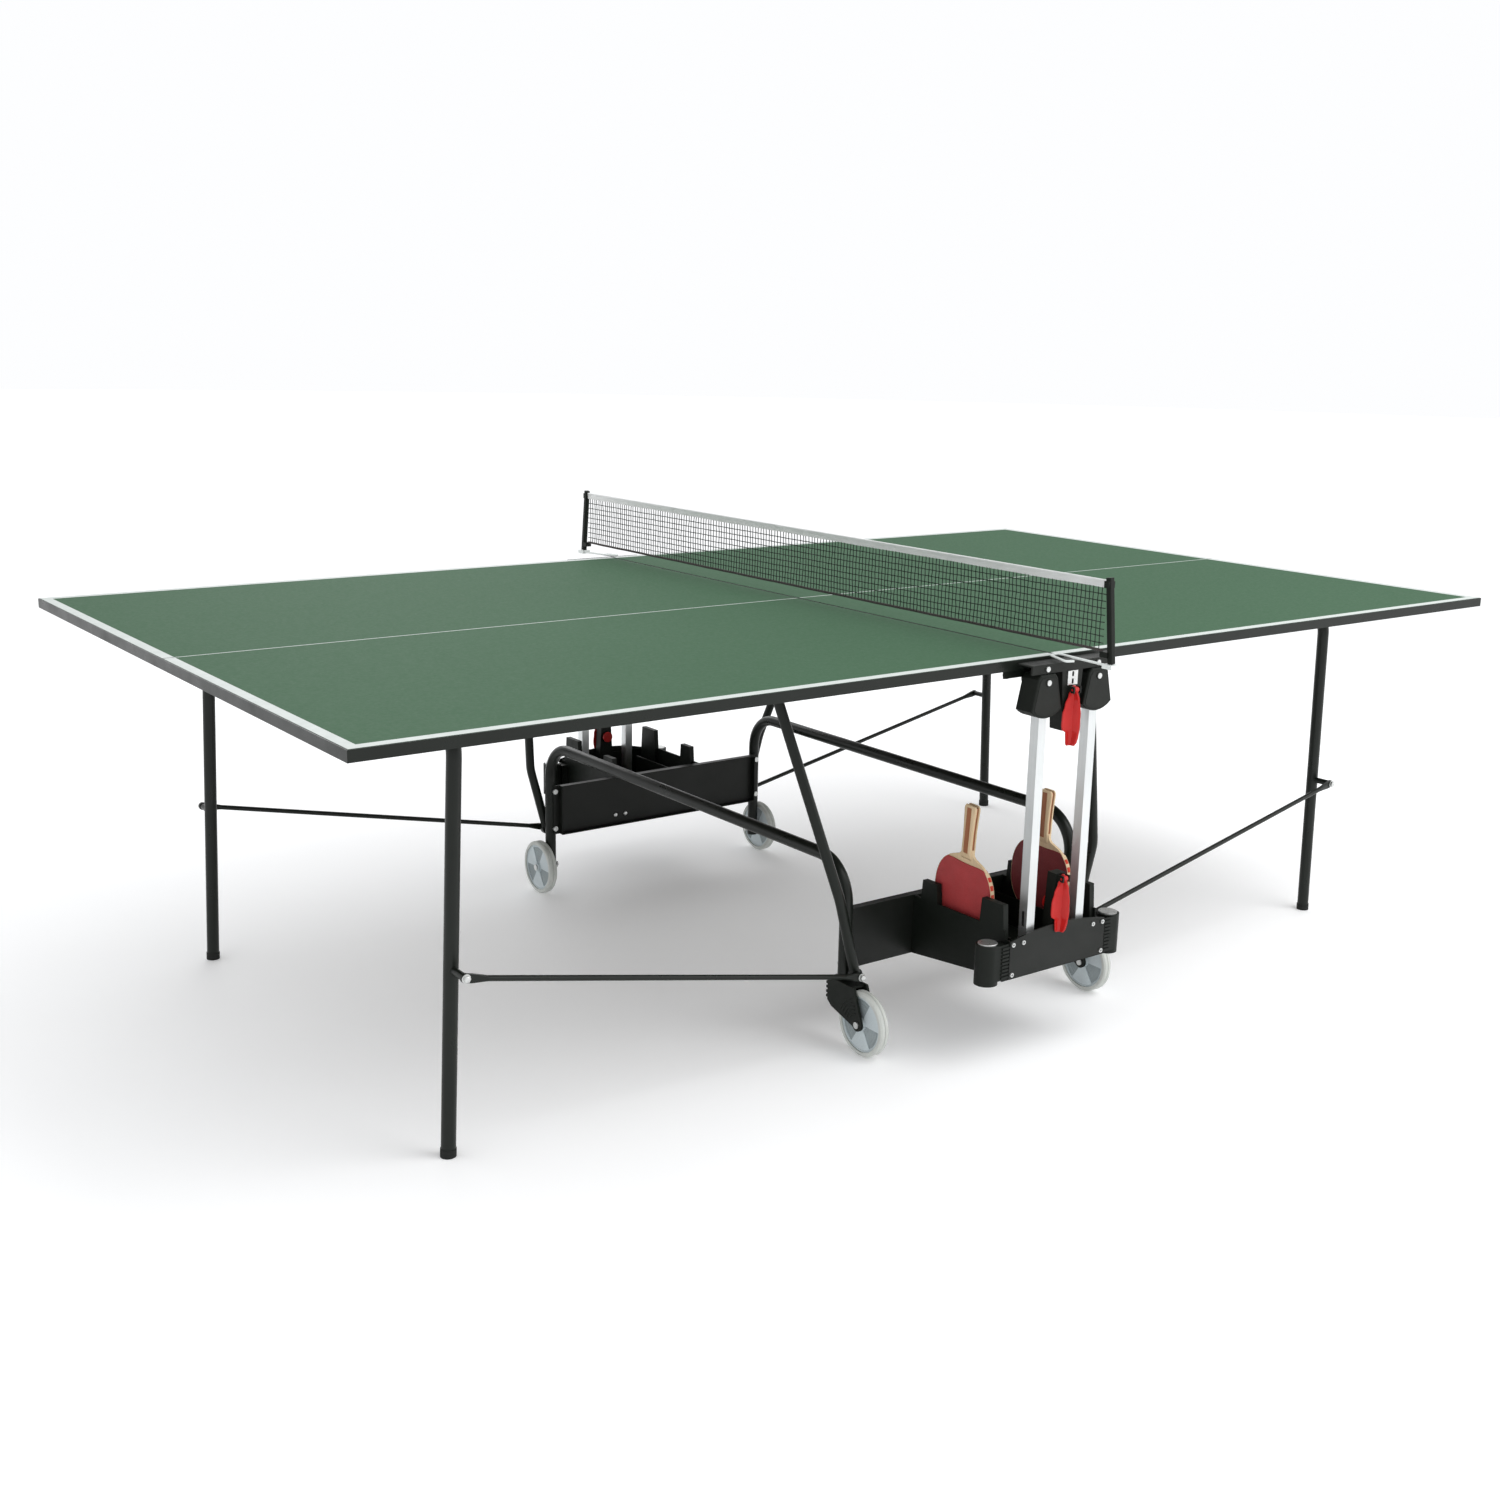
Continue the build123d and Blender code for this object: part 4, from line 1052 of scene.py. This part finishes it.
def add_slider_faces(half):
    """Slightly raised, paler panel on the face of each slider housing, with the pin's washer."""
    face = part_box(f"slider_caps_{half}")[1].y
    pin_x = HALVES[half] * SLIDER_PIVOT[0]
    washer = [(6.6 * MM, 0), (7 * MM, 0.3 * MM), (6.8 * MM, 0.9 * MM), (5 * MM, 1.1 * MM)]
    points = bell(pin_x / MM, 6)
    shape = Shape()
    for side in SIDES.values():
        shape.outline(points, "y", side * (face - 0.3 * MM), side * (face + 0.7 * MM), 0.6 * MM)
        shape.turned((pin_x, side * (face + 0.5 * MM), SLIDER_PIVOT[1]), (0, side, 0), washer)
    shape.piece(f"slider_faces_{half}", CAP_PLASTIC, f"slider_{half}", "black_plastic")


def add_post_shade():
    """Black plates set in the slots of the posts: painted shade of the slots' insides."""
    radius = 3.3 * MM
    steps = 8
    shape = Shape()
    for sign in HALVES.values():
        for side in SIDES.values():
            shaded_slot = []
            for middle_z, start in ((289 * MM, 0), (265 * MM, 180)):
                for k in range(steps + 1):
                    a = radians(start + 180 * k / steps)
                    shaded_slot.append((side * POST_Y + radius * cos(a), middle_z + radius * sin(a)))
            inner, outer = POST_OUTER_X - 3 * MM, POST_OUTER_X - 0.5 * MM
            shape.outline(shaded_slot, "x", sign * inner, sign * outer, 0.3 * MM)
    shape.piece("post_slot_shade", RECESS_SHADE, "trolley", "black_plastic")


def add_panel_bolts():
    """Two domed bolts on the inner face of each side panel."""
    dome = [
        (5 * MM, -0.2 * MM),
        (5 * MM, 0.8 * MM),
        (4 * MM, 2.2 * MM),
        (2 * MM, 3 * MM),
        (0.6 * MM, 3.2 * MM),
    ]
    shape = Shape()
    for side in SIDES.values():
        for x in (127 * MM, 99 * MM):
            centre = (-side * x, side * PANEL_INNER_Y, 165 * MM)
            shape.turned(centre, (0, -side, 0), dome, 20)
    shape.piece("panel_bolts", ZINC, "trolley", "zinc_steel")


def add_panel_flanges():
    """Turned ends of the side panels, and the rolled bead along each long edge."""
    flange_x = (282 * MM, 283.6 * MM)
    bead_x = 283.5 * MM
    shape = Shape()
    for side, sign in SIDES.items():
        low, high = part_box(f"side_panel_{side}")
        inner = min(abs(low.y), abs(high.y))
        outer = max(abs(low.y), abs(high.y))
        for end in HALVES.values():
            flange = rectangle(end * flange_x[0], end * flange_x[1], sign * inner, sign * (outer - 1 * MM))
            shape.outline(flange, "z", low.z + 1.5 * MM, high.z - 1.5 * MM, 0.3 * MM)
        for z in (low.z + 1 * MM, high.z - 1 * MM):
            bead = [(x, sign * inner, z) for x in (-bead_x, -100 * MM, 100 * MM, bead_x)]
            shape.tube(bead, 1.5 * MM, 10)
    shape.piece("panel_flanges", PLATE_STEEL, "trolley", "black_steel", 50)


def add_floor():
    """Large round pale floor just under the feet."""
    mesh = bpy.data.meshes.new("floor")
    work = bmesh.new()
    bmesh.ops.create_circle(work, cap_ends=True, segments=96, radius=30)
    work.to_mesh(mesh)
    work.free()
    floor = bpy.data.objects.new("floor", mesh)
    floor.location.z = CAD_BOX[0][2] - 0.5 * MM
    bpy.context.scene.collection.objects.link(floor)
    pale = Finish("floor_paint", (0.93, 0.935, 0.94), 0.8)
    pale.tint(pale.noise(3, 4), (0.9, 0.905, 0.91), 0.5)
    pale.shader.inputs["Emission Color"].default_value = (1, 1, 1, 1)
    pale.shader.inputs["Emission Strength"].default_value = 0.12
    mesh.materials.append(pale.material)


add_camera()
add_light()
add_floor()
paint_frame()
add_net()
add_tape()
add_screw_shade()
add_post_shade()
add_panel_bolts()
add_panel_flanges()
for side in SIDES:
    for kind in ("upper", "lower"):
        add_lever(kind, side)
for half in HALVES:
    add_lines(half)
    add_backing(half)
    add_bat(half)
    add_bolts(half)
    add_slider_faces(half)
    add_fork_ribs(half)
    add_sector_shade(f"caster_hub_{half}", f"caster_wheel_{half}", f"caster_sector_shade_{half}")
    add_sector_shade(f"rear_hub_{half}", f"rear_wheel_{half}", f"rear_sector_shade_{half}")
    add_wheel_bearing(f"caster_hub_{half}", f"caster_wheel_{half}", f"caster_beads_{half}")
    add_wheel_bearing(f"rear_hub_{half}", f"rear_wheel_{half}", f"rear_beads_{half}")
